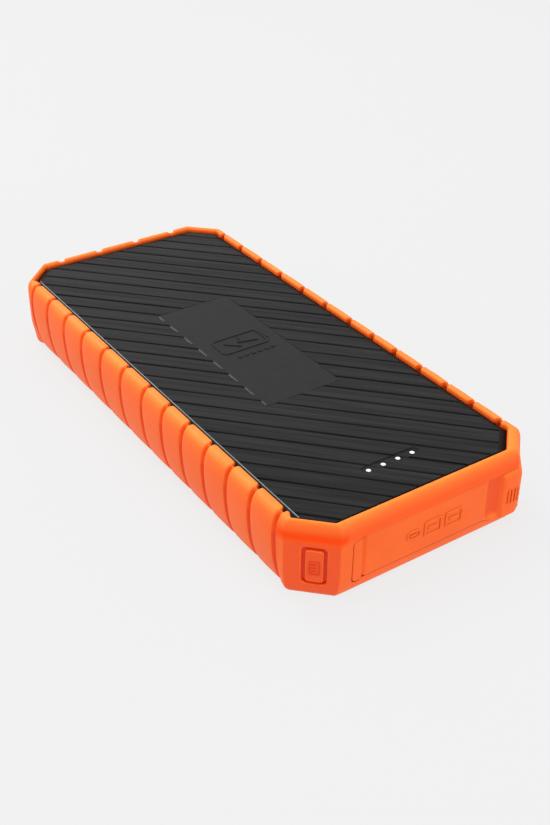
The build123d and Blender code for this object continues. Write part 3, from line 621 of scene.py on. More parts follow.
# slot, material, dark, light, roughness range, metallic, grain scale, bump strength and distance
GRAINED_BLACK = ("black_plastic", "black_plastic_grain", (0.017, 0.017, 0.018),
                 (0.024, 0.024, 0.025), (0.45, 0.58), 0.0, 2600.0, 0.15, 2e-5)
GRAINED = [
    ("seal_rubber", "seal_rubber_dull", (0.035, 0.034, 0.033), (0.055, 0.053, 0.05),
     (0.6, 0.75), 0.0, 1500.0, 0.1, 2e-5),
    ("screw_steel", "screw_steel_zinc", (0.45, 0.46, 0.48), (0.62, 0.63, 0.65),
     (0.22, 0.36), 1.0, 1400.0, 0.08, 2e-5),
    ("plated_steel", "plated_steel_satin", (0.62, 0.62, 0.63), (0.75, 0.75, 0.76),
     (0.2, 0.34), 1.0, 1200.0, 0.06, 2e-5),
    ("connector_plastic", "connector_plastic_white", (0.60, 0.60, 0.58), (0.70, 0.70, 0.68),
     (0.4, 0.5), 0.0, 1200.0, 0.1, 2e-5),
    ("circuit_board", "circuit_board_green", (0.004, 0.055, 0.022), (0.010, 0.105, 0.045),
     (0.28, 0.42), 0.0, 420.0, 0.2, 4e-5),
    ("ferrite", "ferrite_grey", (0.055, 0.056, 0.06), (0.095, 0.096, 0.10),
     (0.5, 0.7), 0.0, 1900.0, 0.25, 2e-5),
    ("capacitor_can", "capacitor_can_alu", (0.66, 0.67, 0.70), (0.80, 0.81, 0.83),
     (0.2, 0.32), 1.0, 900.0, 0.06, 2e-5),
    ("chip_resin", "chip_resin_black", (0.012, 0.012, 0.013), (0.024, 0.024, 0.026),
     (0.45, 0.6), 0.0, 2400.0, 0.1, 2e-5),
    ("light_phosphor", "light_phosphor_yellow", (0.75, 0.62, 0.18), (0.90, 0.78, 0.30),
     (0.4, 0.5), 0.0, 1500.0, 0.1, 2e-5),
    ("ribbon_film", "ribbon_film_amber", (0.42, 0.17, 0.03), (0.60, 0.27, 0.06),
     (0.25, 0.38), 0.0, 500.0, 0.1, 2e-5),
    ("pouch_foil", "pouch_foil_silver", (0.50, 0.51, 0.53), (0.66, 0.67, 0.69),
     (0.28, 0.45), 0.9, 160.0, 0.25, 8e-5),
    ("tape_film", "tape_film_blue", (0.02, 0.10, 0.35), (0.04, 0.16, 0.48),
     (0.25, 0.4), 0.0, 350.0, 0.1, 2e-5),
    ("foam", "foam_grey", (0.05, 0.05, 0.055), (0.12, 0.12, 0.125),
     (0.85, 0.95), 0.0, 1800.0, 0.6, 1e-4),
    ("nickel", "nickel_strip", (0.60, 0.57, 0.52), (0.74, 0.70, 0.64),
     (0.22, 0.34), 1.0, 1100.0, 0.08, 2e-5),
    ("wire_red", "wire_red_silicone", (0.40, 0.010, 0.008), (0.55, 0.02, 0.015),
     (0.4, 0.52), 0.0, 900.0, 0.1, 2e-5),
    ("wire_black", "wire_black_silicone", (0.012, 0.012, 0.013), (0.025, 0.025, 0.026),
     (0.4, 0.52), 0.0, 900.0, 0.1, 2e-5),
]
finishes = {slot: grained_material(*look) for slot, *look in [GRAINED_BLACK] + GRAINED}
finishes["orange_rubber"] = orange
finishes["light_lens"] = lens_material()

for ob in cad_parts.values():
    for slot in ob.material_slots:
        key = slot.material.name.split(".")[0] if slot.material else ""
        slot.material = finishes.get(key, finishes["black_plastic"])
    if not ob.material_slots:
        ob.data.materials.append(finishes["black_plastic"])

# ---------------------------------------------------------------------------
# bumper sleeve
# ---------------------------------------------------------------------------
# Section of the sleeve, down the outside and up the inside. Columns: offset and z on the
# plain blocks, offset and z on the ribs, groove depth, lip notch, outer face (0 or 1),
# share of the taper to the foot, share of the lip's shift inwards.
SLEEVE = np.array([
    (0.00, 19.0, 0.00, 19.0, 0.0, 0.0, 0, 0, 0),
    (0.00, 20.2, 0.00, 20.2, 0.0, 1.0, 0, 0, 0),
    (0.00, 21.9, 0.00, 21.9, 0.0, 1.0, 0, 0, 0),
    (-0.28, 22.3, -0.28, 22.3, 0.0, 1.3, 0, 0, 1.0),
    (-0.26, 23.10, -0.26, 23.10, 0.0, 1.3, 0, 0, 1.0),
    (-0.12, 23.55, -0.12, 23.55, 0.15, 1.2, 0, 0, 1.0),
    (0.16, 23.88, 0.16, 23.88, 0.45, 0.9, 0, 0, 0.95),
    (0.62, 24.03, 0.72, 23.98, 0.85, 0.4, 0, 0.25, 0.6),
    (1.15, 23.93, 1.40, 23.76, 1.20, 0.1, 0, 0.5, 0.2),
    (1.62, 23.55, 2.02, 23.22, 1.35, 0.0, 1, 0.75, 0),
    (2.00, 22.95, 2.52, 22.40, 1.35, 0.0, 1, 0.9, 0),
    (2.25, 22.10, 2.88, 21.25, 1.25, 0.0, 1, 1.0, 0),
    (2.40, 21.00, 3.14, 19.9, 1.12, 0.0, 1, 1.0, 0),
    (2.47, 19.6, 3.28, 18.6, 1.02, 0.0, 1, 1.0, 0),
    (2.50, 18.0, 3.36, 17.0, 1.00, 0.0, 1, 1.0, 0),
    (2.50, 16.0, 3.36, 15.2, 1.00, 0.0, 1, 1.0, 0),
    (2.50, 13.5, 3.28, 13.2, 1.00, 0.0, 1, 1.0, 0),
    (2.50, 11.0, 3.12, 11.0, 1.00, 0.0, 1, 1.0, 0),
    (2.48, 8.8, 2.88, 8.8, 1.00, 0.0, 1, 1.0, 0),
    (2.44, 6.8, 2.52, 6.7, 1.00, 0.0, 1, 0.95, 0),
    (2.36, 5.0, 2.10, 4.9, 1.00, 0.0, 1, 0.85, 0),
    (2.20, 3.3, 1.62, 3.3, 0.95, 0.0, 1, 0.7, 0),
    (1.92, 1.9, 1.12, 2.0, 0.90, 0.0, 1, 0.5, 0),
    (1.45, 0.85, 0.62, 1.0, 0.75, 0.0, 1, 0.3, 0),
    (0.80, 0.20, 0.10, 0.32, 0.40, 0.0, 1, 0.1, 0),
    (0.10, 0.0, -0.60, 0.0, 0.0, 0.0, 0, 0, 0),
    (-1.6, 0.0, -1.8, 0.0, 0.0, 0.0, 0, 0, 0),
    (-6.85, 0.0, -6.85, 0.0, 0.0, 0.0, 0, 0, 0),
    (-7.00, 0.15, -7.00, 0.15, 0.0, 0.0, 0, 0, 0),
    (-7.00, 1.15, -7.00, 1.15, 0.0, 0.0, 0, 0, 0),
    (0.00, 1.15, 0.00, 1.15, 0.0, 0.0, 0, 0, 0),
    (0.00, 9.9, 0.00, 9.9, 0.0, 0.0, 0, 0, 0),
    (0.50, 9.9, 0.50, 9.9, 0.0, 0.0, 0, 0, 0),
    (0.50, 14.1, 0.50, 14.1, 0.0, 0.0, 0, 0, 0),
    (0.00, 14.1, 0.00, 14.1, 0.0, 0.0, 0, 0, 0),
])
BLOCK, RIB = SLEEVE[:, :2], SLEEVE[:, 2:4]
DEPTH, NOTCH, OUTER, TAPER, LIP = SLEEVE[:, 4:].T
# the first and last rows, which lie against the cover, ignore each side's skin share
FIRST_SKIN_ROW, LAST_PLAIN_ROWS = 4, 6


def features(station):
    """Shares of rib, groove, lip notch and rib rounding at a station."""
    side, kind, s, grooves = station
    if kind != "flat" or not grooves:
        return 0.0, 0.0, 0.0, 0.0
    distance = min(abs(s - g) for g in grooves)
    if side in (RIGHT, LEFT):
        rib = 1 - smooth01((abs(s) - 74.6) / 2.6)
        groove = 0.85 * (1 - smooth01((distance - 0.30) / 0.62))
        if distance < 1.3:
            groove += 0.15 * (1 - distance / 1.3)
        notch = 1 - smooth01((distance - 0.62) / 0.62)
    else:
        rib, notch = 0.0, 0.0
        groove = 1 - smooth01((distance - 0.5) / 1.0)
    before = max([g for g in grooves if g <= s], default=None)
    after = min([g for g in grooves if g > s], default=None)
    if before is not None and after is not None:
        half = (after - before) / 2
        rounding = (abs(s - (before + after) / 2) / half) ** 4
    else:
        nearest = before if before is not None else after
        rounding = max(0.0, 1 - abs(s - nearest) / 5.0) ** 2.2
    return rib, groove, notch, rounding


def button_taper(station):
    """Share of the extra taper to the foot round the button's corner."""
    side, kind, s, _ = station
    if side == BUTTON_CORNER:
        return 1.0
    if side == LEFT:
        if kind == "flat":
            return smooth01((s - 75.4) / 2.0)
        return 1.0 if s > 0 else 0.0
    if side == FRONT:
        if kind == "flat":
            return 0.9 * (1 - smooth01((s + 28.6) / 2.5))
        return 0.9 if kind == "end" and s < 0 else 0.0
    return 0.0


def back_taper(station):
    """Share of the extra taper to the foot on the back and its corners."""
    side, kind, s, _ = station
    if BACK - 1 <= side <= BACK + 1:
        return 1.0
    if side not in (LEFT, RIGHT):
        return 0.0
    toward_back = s if side == RIGHT else -s
    if kind == "flat":
        return smooth01((toward_back - 73.0) / 4.5)
    return 1.0 if toward_back > 0 else 0.0


def sleeve_loop(station):
    rib, groove, notch, rounding = features(station)
    on_side = station.side in (RIGHT, LEFT)
    section = BLOCK * (1 - rib) + RIB * rib
    tangent = np.roll(section, -1, 0) - np.roll(section, 1, 0)
    length = np.maximum(np.linalg.norm(tangent, axis=1, keepdims=True), 1e-9)
    outward = np.stack([-tangent[:, 1], tangent[:, 0]], 1) / length
    deep = groove * DEPTH * (1.0 if on_side else 1.15) + rounding * 0.30 * OUTER * DEPTH
    section = section - outward * deep[:, None]
    section[:, 0] += notch * NOTCH
    if on_side and station.kind == "flat":
        lip_shift = 0.95 if station.side == LEFT else 0.35
        section[:, 0] -= (1 - smooth01((abs(station.along) - 76.0) / 2.0)) * LIP * lip_shift
    low = np.clip(1 - section[:, 1] / 8.5, 0, 1) ** 1.5
    section[:, 0] -= 0.35 * button_taper(station) * low * TAPER
    low = np.clip(1 - section[:, 1] / 9.0, 0, 1)
    section[:, 0] -= 1.5 * back_taper(station) * low * TAPER
    loop = []
    for i, (offset, z) in enumerate(section):
        skinned = FIRST_SKIN_ROW <= i < len(section) - LAST_PLAIN_ROWS
        loop.append((*point_at(station, offset, skin_offset if skinned else plain_offset), z))
    return loop


def cut_front_openings(ob):
    """Port window, and the hole for the flap anchor's foot."""
    window = rounded_rect(WINDOW_WIDTH, WINDOW_HEIGHT, 1.4, 6, WINDOW_U, WINDOW_Z)
    drill(ob, on_front, window, 84.0, 92.0)
    drill(ob, on_front, rounded_rect(1.7, 6.4, 0.2, 3, FOOT_U, ANCHOR_Z), 84.0, 92.0)


sleeve = skin("bumper_sleeve_soft", [sleeve_loop(st) for st in STATIONS], closed_path=True)

# hole for the button, eased at its mouth: distance and growth of the outline
MOUTH = [(79.0, 0), (82.55, 0), (82.83, 0.06), (83.05, 0.18), (83.20, 0.40), (83.9, 1.6)]
carve(sleeve, on_button_corner, [
    (rounded_rect(6.6 + 2 * grow, 12.0 + 2 * grow, 1.2 + grow, 8, BUTTON_U - 0.1, CAP_Z), d)
    for d, grow in MOUTH])
# seat of the button's flange
drill(sleeve, on_button_corner, rounded_rect(8.2, 13.2, 0.6, 4, 0, BUTTON_Z), 80.5, 82.16)

# pockets in the front face for the flap, its anchor and the tab
POCKET_D, POCKET_OUT = 87.2, 93.0
POCKET_Z0, POCKET_Z1 = 4.15, 18.05
TAB_Z0 = 2.73
TAB_SEAT = 82.7 * ROOT_2             # x - y on the seat of the tab
panel_pocket = rounded_rect(52.7, POCKET_Z1 - POCKET_Z0, 0.5, 4, 3.85, (POCKET_Z0 + POCKET_Z1) / 2)
drill(sleeve, on_front, panel_pocket, POCKET_D, POCKET_OUT)
drill(sleeve, on_front, rounded_rect(3.74, 14.1, 1.6, 8, -23.23, ANCHOR_Z), POCKET_D, POCKET_OUT)
tab_pocket = [(TAB_SEAT - POCKET_D, -POCKET_D), (28.0, -POCKET_D), (28.0, -95.0), (46.0, -95.0),
              (46.0, -76.5), (40.5, 40.5 - TAB_SEAT)]
drill(sleeve, on_top, tab_pocket, TAB_Z0, POCKET_Z1)
# the pocket's lower edge dips from the panel to the tab: x, z
DIP = [(19.4, 4.6), (20.2, 4.16), (21.5, 3.76), (23.0, 3.16), (24.6, 2.76), (28.6, TAB_Z0),
       (28.6, 6.0), (19.4, 6.0)]
drill(sleeve, on_front, DIP, POCKET_D, POCKET_OUT)
cut_front_openings(sleeve)
finish_mesh(sleeve, sharp_angle=40)
dress(sleeve, orange, "orange_rubber", "housing", "bumper_sleeve")

# ---------------------------------------------------------------------------
# top cover: rim
# ---------------------------------------------------------------------------
# section: offset, z
RIM = [
    (0.40, 12.0), (0.40, 14.0), (-0.10, 14.0), (-0.10, 19.6), (-0.10, 21.62), (-0.16, 21.80),
    (-0.34, 21.95), (-1.15, 22.47), (-1.92, 22.965), (-2.02, 23.025), (-2.12, 23.068),
    (-2.24, 23.10), (-2.38, 23.115), (-2.45, 23.08), (-2.50, 23.0), (-2.52, 22.3),
    (-2.52, 20.8), (-1.9, 20.8), (-1.9, 12.0),
]
rim = skin("top_cover_rim", [[(*point_at(st, offset, rim_offset), z) for offset, z in RIM]
                             for st in STATIONS], closed_path=True)
cut_front_openings(rim)
window_step = rounded_rect(42.8, 12.8, 0.3, 3, WINDOW_U, WINDOW_Z)
drill(rim, on_front, window_step, 83.6, 85.0)
drill(rim, on_button_corner, rounded_rect(8.4, 13.4, 0.3, 3, 0, BUTTON_Z), 81.2, 86.0)

# ---------------------------------------------------------------------------
# top cover: saw-tooth field, each plank low at its line and rising towards the next
# ---------------------------------------------------------------------------
FIELD_BOTTOM = 20.8
FIELD_REACH = 115.0                  # half length of the planks before trimming
# distance from the line, z
PLANK = [
    (0.00, 22.64), (0.20, 22.64), (0.29, 22.78), (0.41, 22.90), (0.58, 22.955), (1.7, 22.99),
    (2.84, 23.025), (2.95, 22.985), (3.06, 22.985), (3.18, 23.035), (4.4, 23.075),
    (5.6, 23.115), (5.80, 23.11), (5.93, 23.06), (6.02, 22.95), (6.09, 22.78),
]
rise_x, rise_y = math.cos(PLANK_ANGLE), math.sin(PLANK_ANGLE)
profile = [(PLANK_START + k * PLANK_PITCH + s, z) for k in range(-1, 26) for s, z in PLANK]
profile += [(profile[-1][0] + 0.05, FIELD_BOTTOM), (profile[0][0], FIELD_BOTTOM)]
field = skin("top_cover_field", [
    [(rise_x * s - rise_y * q, rise_y * s + rise_x * q, z) for s, z in profile]
    for q in (-FIELD_REACH, FIELD_REACH)])

# trimmed to the octagon inside the rim
field_outline = []
for side in range(8):
    corners = [Station(side, "end", -1.0), Station(side, "end", 1.0)]
    corners += [Station(side, "arc", share) for share in ARC_SHARES]
    field_outline += [point_at(st, -2.47, rim_offset) for st in corners]
carve(field, on_top, [(field_outline, 19.0), (field_outline, 25.0)], "INTERSECT")

badge_width, badge_length = BADGE_X1 - BADGE_X0, BADGE_Y1 - BADGE_Y0
badge_x, badge_y = (BADGE_X0 + BADGE_X1) / 2, (BADGE_Y0 + BADGE_Y1) / 2
BADGE_GAP = 0.16                     # opening's size over the badge's
badge_opening = rounded_rect(badge_width + BADGE_GAP, badge_length + BADGE_GAP, 0.5, 4,
                             badge_x, badge_y)
drill(field, on_top, badge_opening, 20.0, 25.0)

# light slot: a shallow stadium with an eased edge (width, z), and four holes
SLOT_X, SLOT_STRAIGHT = -0.15, 16.2
SLOT = [(2.7, 22.72), (3.0, 22.80), (3.05, 22.95), (3.5, 23.2), (3.5, 24.0)]
carve(field, on_top, [
    (rounded_rect(SLOT_STRAIGHT + w, w, w / 2 - 0.002, 14, SLOT_X, LIGHT_Y), z) for w, z in SLOT])
for i in range(4):
    drill(field, on_top, circle(0.82, 28, LIGHT_PITCH * (i - 1.5), LIGHT_Y), 20.0, 24.0)
finish_mesh(field, sharp_angle=30)

# towers for the case screws and posts for the light board, hanging under the rim
supports = []
for x in (-32.4, 32.4):
    for y in (73.0, 28.0, -18.0, -61.0):
        supports.append(ring("tower", on_top, circle(2.3, 24, x, y), circle(0.91, 24, x, y),
                             21.0, 12.0, soft=-0.02))
for x in (-11.0, 11.0):
    post = circle(1.2, 20, x, LIGHT_Y)
    supports.append(levels("post", on_top, [(post, 19.5), (post, 21.0)]))
join(rim, supports)
finish_mesh(rim, sharp_angle=32)
dress(rim, rim_black, "black_plastic", "housing", "top_cover")

# brighter crest along the left side
rim.data.materials.append(rim_edge)
for face in rim.data.polygons:
    x, y, z = face.center
    if 0.02297 < z < 0.02311 and -0.0352 < x < -0.0345 and abs(y) < 0.0785:
        face.material_index = 1
dress(field, cover_black, "black_plastic", "housing")

# ---------------------------------------------------------------------------
# badge panel: a bolt in a battery outline with its pole, and a row of dashes
# ---------------------------------------------------------------------------
MARK_X, MARK_Y = 0.2, 4.2
MARK_BASE = 22.9
MARK_TOP = 23.30


def inset_polygon(points, distance):
    """Polygon moved inwards by a distance, mitred."""
    count = len(points)
    area = sum(points[i][0] * points[(i + 1) % count][1] - points[(i + 1) % count][0] * points[i][1]
               for i in range(count))
    sign = 1 if area > 0 else -1
    out = []
    for i in range(count):
        before, here, after = (Vector(points[k % count]) for k in (i - 1, i, i + 1))
        edge1, edge2 = (here - before).normalized(), (after - here).normalized()
        normal1 = Vector((-edge1.y, edge1.x)) * sign
        normal2 = Vector((-edge2.y, edge2.x)) * sign
        mitre = normal1 + normal2
        mitre = mitre / max(0.35, mitre.length_squared / 2)
        out.append(tuple(here + mitre * distance))
    return out


# trim of the panel's size, corner radius, z
BADGE_ROWS = [(0, 0.45, 20.8), (0, 0.45, 22.94), (0.06, 0.42, 23.01), (0.22, 0.35, 23.05)]
badge = levels("badge_panel", on_top, [
    (rounded_rect(badge_width - trim, badge_length - trim, radius, 5, badge_x, badge_y), z)
    for trim, radius, z in BADGE_ROWS])

# bolt as drawn, then moved to the mark's centre and scaled
BOLT = [(-5.4, 5.0), (-0.4, 2.6), (-0.6, 4.3), (7.6, 3.2), (1.6, 6.3), (1.5, 4.5)]
bolt = [((x - 0.7) * 0.86, MARK_Y + (y - 4.3) * 1.6) for x, y in BOLT]
marks = [
    levels("bolt", on_top, [(bolt, MARK_BASE), (bolt, 23.26), (inset_polygon(bolt, 0.10), 23.33)]),
    ring("outline", on_top, rounded_rect(17.0, 9.4, 1.5, 6, MARK_X, MARK_Y),
         rounded_rect(15.6, 8.0, 0.9, 6, MARK_X, MARK_Y), MARK_BASE, MARK_TOP),
    pad("pole", on_top, rounded_rect(1.0, 4.4, 0.4, 4, 9.3, MARK_Y), MARK_BASE, MARK_TOP),
]
for i in range(6):
    dash = rounded_rect(1.6, 1.1, 0.3, 4, -4.6 + 2.4 * i, -3.6)
    marks.append(pad("dash", on_top, dash, MARK_BASE, 23.28))
join(badge, marks)
finish_mesh(badge, sharp_angle=30)
dress(badge, badge_black, "black_plastic", "housing")

# bright edge along the badge's left side, broken at each plank line:
# width, trim of the length, corner radius, shift in x, z
BEAD = [(0.58, 0, 0.08, -0.02, 22.90), (0.58, 0, 0.08, -0.02, 23.02), (0.34, 0.1, 0.08, 0.09, 23.085),
        (0.20, 0.2, 0.08, 0.15, 23.108), (0.12, 0.3, 0.05, 0.17, 23.112)]
BEAD_SHARES = (0.07, 0.62)           # part of each plank that has a bead
BEAD_MARGIN = 0.6                    # from the badge's ends
beads = []
for k in range(30):
    y0, y1 = sorted((PLANK_START + (k + share) * PLANK_PITCH - BADGE_X0 * rise_x) / rise_y
                    for share in BEAD_SHARES)
    y0, y1 = max(y0, BADGE_Y0 + BEAD_MARGIN), min(y1, BADGE_Y1 - BEAD_MARGIN)
    if y1 - y0 > 1.0:
        beads.append(levels("bead", on_top, [
            (rounded_rect(width, y1 - y0 - trim, radius, 3, BADGE_X0 + shift, (y0 + y1) / 2), z)
            for width, trim, radius, shift, z in BEAD]))
bead = join(beads[0], beads[1:])
bead.name = "badge_edge"
finish_mesh(bead, sharp_angle=40)
dress(bead, rim_edge, "black_plastic", "housing")

# ---------------------------------------------------------------------------
# flap: anchor, thin hinge, panel, scoop and tab, in one moulding
# ---------------------------------------------------------------------------
# Upright section across the flap: outer and inner (x, y), bottom and top z, easing of the
# edges, and height and depth of the top edge's rounding where it differs from the easing.
Section = namedtuple("Section", "outer inner z0 z1 ease top_height top_depth",
                     defaults=(None, None))
FLAP_BACK = -87.28
TAB_FACE = 86.35 * ROOT_2            # x - y on the tab's outer plane
TAB_BOTTOM, TAB_TOP = 2.88, 17.97
SCOOP_X0, SCOOP_X1 = 20.6, 26.4
SCOOP_FOOT = 1.37                    # thickness kept at the bottom edge of the scoop

# x, y of the outer face
ANCHOR = [
    (-24.82, -88.28), (-24.79, -88.45), (-24.68, -88.56), (-24.5, -88.60), (-24.2, -88.61),
    (-23.8, -88.61), (-23.5, -88.61), (-22.9, -88.61), (-22.35, -88.60), (-22.1, -88.56),
    (-21.92, -88.46),
]
# x, y of the outer face, bottom and top z, easing
HINGE = [
    (-21.74, -88.32, 4.0, 17.45, 0.22), (-21.56, -88.18, 4.4, 17.4, 0.18),
    (-21.38, -88.13, 4.4, 17.4, 0.18), (-21.20, -88.18, 4.4, 17.5, 0.18),
    (-21.02, -88.32, 4.34, 17.75, 0.22),
]
# x, y of the outer face
PANEL = [
    (-20.84, -88.46), (-20.66, -88.57), (-20.4, -88.63), (-20.0, -88.65), (-17.0, -88.65),
    (-12.0, -88.65), (-7.0, -88.65), (-2.0, -88.65), (3.0, -88.65), (8.0, -88.65),
    (13.0, -88.65), (18.0, -88.65), (19.4, -88.65), (20.3, -88.65), (20.65, -88.64),
    (20.8, -88.58), (21.0, -88.42), (21.3, -88.22), (21.7, -88.00), (22.2, -87.82),
    (22.8, -87.70), (23.5, -87.64), (24.2, -87.66), (24.8, -87.76), (25.3, -87.93),
    (25.7, -88.16), (26.0, -88.42), (26.2, -88.68), (26.36, -88.92), (26.55, -89.14),
    (26.8, -89.28), (27.2, -89.38), (27.8, -89.43),
]
TAB_BEND = [
    Section((29.2, -89.50), (28.7, FLAP_BACK), TAB_BOTTOM, TAB_TOP, 0.40, 2.2, 1.45),
    Section((30.4, -89.52), (29.4, FLAP_BACK), TAB_BOTTOM, TAB_TOP, 0.46, 2.2, 1.5),
    Section((31.5, -89.50), (29.75, FLAP_BACK), TAB_BOTTOM, TAB_TOP, 0.55, 2.2, 1.55),
    Section((32.15, -89.34), (30.0, -87.14), TAB_BOTTOM + 0.1, TAB_TOP, 0.65, 2.25, 1.6),
    Section((32.75, -88.96), (30.5, -86.62), TAB_BOTTOM + 0.3, TAB_TOP, 0.75, 2.3, 1.65),
]
TAB_X = (33.3, 34.0, 35.0, 36.0, 37.0, 38.0, 38.8, 39.4, 39.9, 40.3, 40.6)
TAB_END = [
    Section((40.30, -80.15), (38.75, -78.45), 8.6, 17.3, 0.5, 2.0, 1.2),
    Section((40.42, -79.80), (39.0, -78.15), 9.4, 17.0, 0.5, 1.8, 1.1),
    Section((40.40, -79.30), (39.2, -77.95), 10.2, 16.6, 0.4, 1.2, 0.8),
]


def anchor_section(x, y):
    """The anchor's left corners are rounded."""
    radius, center_x = 1.4, -23.42
    drop = 0.0
    if x < center_x:
        drop = radius - math.sqrt(max(0.0, radius * radius - (center_x - x) ** 2))
    return Section((x, y), (x, FLAP_BACK), 3.75 + drop, 17.25 - drop, 0.30)


def panel_section(x, y):
    """The bottom drops, and the top edge grows rounder, towards the tab."""
    top = 0.32 + 1.9 * smooth01((x - 20.2) / 6.0)
    return Section((x, y), (x, FLAP_BACK), 4.30 - 1.42 * smooth01((x - 19.6) / 5.2),
                   17.90 + 0.07 * smooth01((x - 26.5) / 2.0), 0.32, top, 0.66 * top)


def tab_section(x):
    """The tab thins, and its bottom rises in an arc, towards its end."""
    y = x - TAB_FACE
    share = (x - 33.0) / (41.0 - 33.0)
    lift = 6.2 * (1 - math.sqrt(1 - share ** 2))
    thin = 0.95 * (x - 33.3) / 7.3
    top = TAB_TOP - 0.6 * max(0.0, (x - 39.4) / 1.6) ** 2
    return Section((x - thin * Q, y + thin * Q), (x - 2.45, y + 2.45), 3.3 + lift, top,
                   0.7, 2.4, 1.7)


def flap_loop(section):
    (x, y), (inner_x, inner_y), z0, z1, ease, top_height, top_depth = section
    thick = math.hypot(x - inner_x, y - inner_y)
    ease = min(ease, 0.45 * thick)
    top_height = top_height or ease
    top_depth = min(top_depth or ease, 0.8 * thick - 0.12)
    dx, dy = (x - inner_x) / thick, (y - inner_y) / thick
    foot = SCOOP_FOOT if SCOOP_X0 < x < SCOOP_X1 else thick
    if foot > thick:
        ease = 0.32
    # depth from the inner face, z
    points = [(0.0, z0 + 0.12), (0.12, z0), (foot - ease, z0),
              (foot - ease * 0.29, z0 + ease * 0.29), (foot, z0 + ease)]
    for share in (0.05, 0.10, 0.16, 0.23, 0.31, 0.45, 0.6, 0.8):
        z = z0 + ease + (z1 - z0 - ease - top_height) * share
        points.append((thick + (foot - thick) * (1 - smooth01((z - z0 - ease - 0.1) / 2.0)), z))
    for angle in (0.0, 0.4, 0.8, 1.2, math.pi / 2):
        points.append((thick - top_depth + top_depth * math.cos(angle),
                       z1 - top_height + top_height * math.sin(angle)))
    points += [(0.12, z1), (0.0, z1 - 0.12)]
    return [(inner_x + dx * depth, inner_y + dy * depth, z) for depth, z in points]


sections = [anchor_section(x, y) for x, y in ANCHOR]
sections += [Section((x, y), (x, FLAP_BACK), z0, z1, ease) for x, y, z0, z1, ease in HINGE]
sections += [panel_section(x, y) for x, y in PANEL]
sections += TAB_BEND + [tab_section(x) for x in TAB_X] + TAB_END
flap = skin("port_flap_moulding", [flap_loop(section) for section in sections])

# four upright grip ridges on the tab: x, base, top
details = []
for x, base, top in ((28.45, 89.2, 89.86), (29.65, 89.2, 89.86), (30.9, 89.2, 89.86),
                     (31.95, 89.0, 89.72)):
    details.append(pad("ridge", on_front, rounded_rect(0.62, 4.9, 0.30, 6, x, 9.6), base, top,
                       soft=0.24))

# raised port outlines: x, outer width and height, radius, inner width and height, tongue height
PORT_Z, PORT_BASE = 10.9, 88.5
PORTS = [(1.6, 6.0, 4.8, 0.7, 4.9, 3.7, 0.95), (8.9, 6.0, 4.8, 0.7, 4.9, 3.7, 0.95),
         (-5.0, 4.8, 2.8, 1.38, 3.8, 1.8, 0.55)]
for x, width, height, radius, inner_width, inner_height, tongue in PORTS:
    details.append(ring("port_outline", on_front, rounded_rect(width, height, radius, 6, x, PORT_Z),
                        rounded_rect(inner_width, inner_height, radius - 0.5, 6, x, PORT_Z),
                        PORT_BASE, 88.98, soft=0.14))
    details.append(pad("port_tongue", on_front,
                       rounded_rect(inner_width * 0.68, tongue, 0.25, 4, x, PORT_Z),
                       PORT_BASE, 88.94, soft=0.12))
foot = rounded_rect(1.5, 6.2, 0.2, 3, FOOT_U, ANCHOR_Z)
details.append(levels("anchor_foot", on_front, [(foot, 84.2), (foot, 87.8)]))
join(flap, details)
finish_mesh(flap, sharp_angle=40)
flap.data.materials.clear()
flap.data.materials.append(orange)
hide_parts("port_flap", "flap_anchor")
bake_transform(flap)

# ---------------------------------------------------------------------------
# power button: flange, cap, stem and a raised cell mark with three bars
# ---------------------------------------------------------------------------
# cap: width, corner radius, distance; its height is its width and 5.5
CAP = [(4.84, 0.95, 82.12), (4.8, 0.92, 82.85), (4.74, 0.9, 83.03), (4.58, 0.85, 83.15),
       (4.30, 0.75, 83.205), (3.9, 0.65, 83.215)]
CELL_Z, BAR_PITCH = BUTTON_Z - 0.6, 1.07
CELL_BASE, CELL_TOP = 83.0, 83.42

flange = rounded_rect(7.6, 12.6, 1.0, 8, 0.15, BUTTON_Z)
cap = levels("power_button_cap", on_button_corner, [(flange, 81.73), (flange, 82.10)] + [
    (rounded_rect(width, width + 5.5, radius, 8, BUTTON_U, CAP_Z), d) for width, radius, d in CAP])
stem = rounded_rect(2.5, 1.5, 0.2, 3, 0, 10.15)
join(cap, [levels("stem", on_button_corner, [(stem, 79.12), (stem, 81.9)])])
finish_mesh(cap, sharp_angle=40)
dress(cap, orange, "orange_rubber", "button", "power_button")

# painted glow and shade: deep orange on the flange and stem, seen down the gap
cap.data.materials.append(orange_gap_glow)
for face in cap.data.polygons:
    if -(face.center.x + face.center.y) * Q < 0.08214:
        face.material_index = 1

# painted shade: the mark takes a darker red so its lines read as shaded
cell = ring("cell_outline", on_button_corner, rounded_rect(2.9, 4.5, 0.4, 6, BUTTON_U, CELL_Z),
            rounded_rect(2.3, 3.9, 0.25, 6, BUTTON_U, CELL_Z), CELL_BASE, CELL_TOP, soft=0.10)
bars = []
for i in range(3):
    bar = rounded_rect(1.4, 0.40, 0.15, 4, BUTTON_U - 0.15, CELL_Z - BAR_PITCH + BAR_PITCH * i)
    bars.append(pad("bar", on_button_corner, bar, CELL_BASE, CELL_TOP, soft=0.1))
join(cell, bars)
cell.name = "button_cell_mark"
finish_mesh(cell, sharp_angle=40)
dress(cell, orange_mark_shade, "orange_rubber", "button")

# ---------------------------------------------------------------------------
# floor, light and camera, in metres
# ---------------------------------------------------------------------------
PALE = 0.863                         # grey of the surroundings


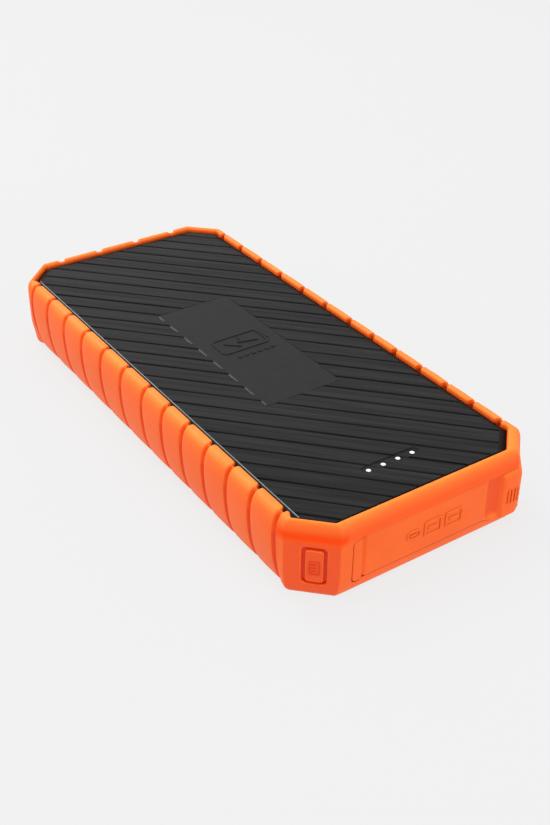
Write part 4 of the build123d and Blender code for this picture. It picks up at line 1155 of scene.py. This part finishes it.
def floor_material():
    """Mostly its own pale light, with a little diffuse to take shadows."""
    s = Shader("floor_pale")
    color = s.ramp(s.noise(scale=3.0), dark=(PALE * 0.90,) * 3, light=(PALE * 0.905,) * 3)
    glow = s.node("ShaderNodeEmission", {"Color": color}).outputs[0]
    s.set(Base_Color=(0.07, 0.07, 0.07, 1), Roughness=1.0, Specular_IOR_Level=0.0)
    both = s.node("ShaderNodeAddShader", {0: glow, 1: s.bsdf.outputs[0]}).outputs[0]
    output = next(n for n in s.tree.nodes if n.type == "OUTPUT_MATERIAL")
    s.feed(output.inputs["Surface"], both)
    return s.mat


def soft_light(name, where, target, size, power):
    light = bpy.data.lights.new(name, "AREA")
    light.shape = "RECTANGLE"
    light.size, light.size_y = size
    light.energy = power
    ob = bpy.data.objects.new(name, light)
    scene.collection.objects.link(ob)
    ob.location = where
    ob.rotation_mode = "QUATERNION"
    ob.rotation_quaternion = (Vector(target) - Vector(where)).to_track_quat("-Z", "Y")


bpy.ops.mesh.primitive_plane_add(size=12.0, location=(0, 0, -0.0001))
floor = bpy.context.active_object
floor.name = "studio_floor"
floor.data.materials.append(floor_material())

world = bpy.data.worlds.new("studio")
scene.world = world
world.use_nodes = True
background = world.node_tree.nodes["Background"]
background.inputs["Color"].default_value = (PALE, PALE, PALE, 1)
background.inputs["Strength"].default_value = 1.0

soft_light("top_light", where=(-0.10, 0.15, 0.80), target=(0, 0, 0), size=(0.8, 0.8), power=3.2)
soft_light("left_light", where=(-0.72, 0.42, 0.42), target=(0, 0, 0.01), size=(0.5, 0.6), power=1.3)
soft_light("front_light", where=(0.18, -0.85, 0.35), target=(0, 0, 0.01), size=(0.6, 0.5), power=1.8)
soft_light("edge_light", where=(-0.05, 0.80, 0.82), target=(0, 0, 0.02), size=(0.22, 0.6), power=3.6)

CAMERA_PLACE = (-0.167775, -0.263689, 0.205084)
CAMERA_AXES = (
    (0.82984926, -0.5579643, 0.00510451),      # right
    (0.30351656, 0.45905272, 0.83495407),      # up
    (-0.4682178, -0.69133671, 0.55029596),     # backwards
)
camera_data = bpy.data.cameras.new("camera")
camera_data.lens = 50.42
camera_data.sensor_width = 36.0
camera_data.sensor_fit = "AUTO"
camera_data.shift_y = -0.00096970
camera_data.clip_start, camera_data.clip_end = 0.01, 30.0
camera = bpy.data.objects.new("camera", camera_data)
scene.collection.objects.link(camera)
pose = Matrix(CAMERA_AXES).transposed().to_4x4()
pose.translation = CAMERA_PLACE
camera.matrix_world = pose
scene.camera = camera
scene.view_settings.view_transform = "Standard"
scene.view_settings.look = "None"
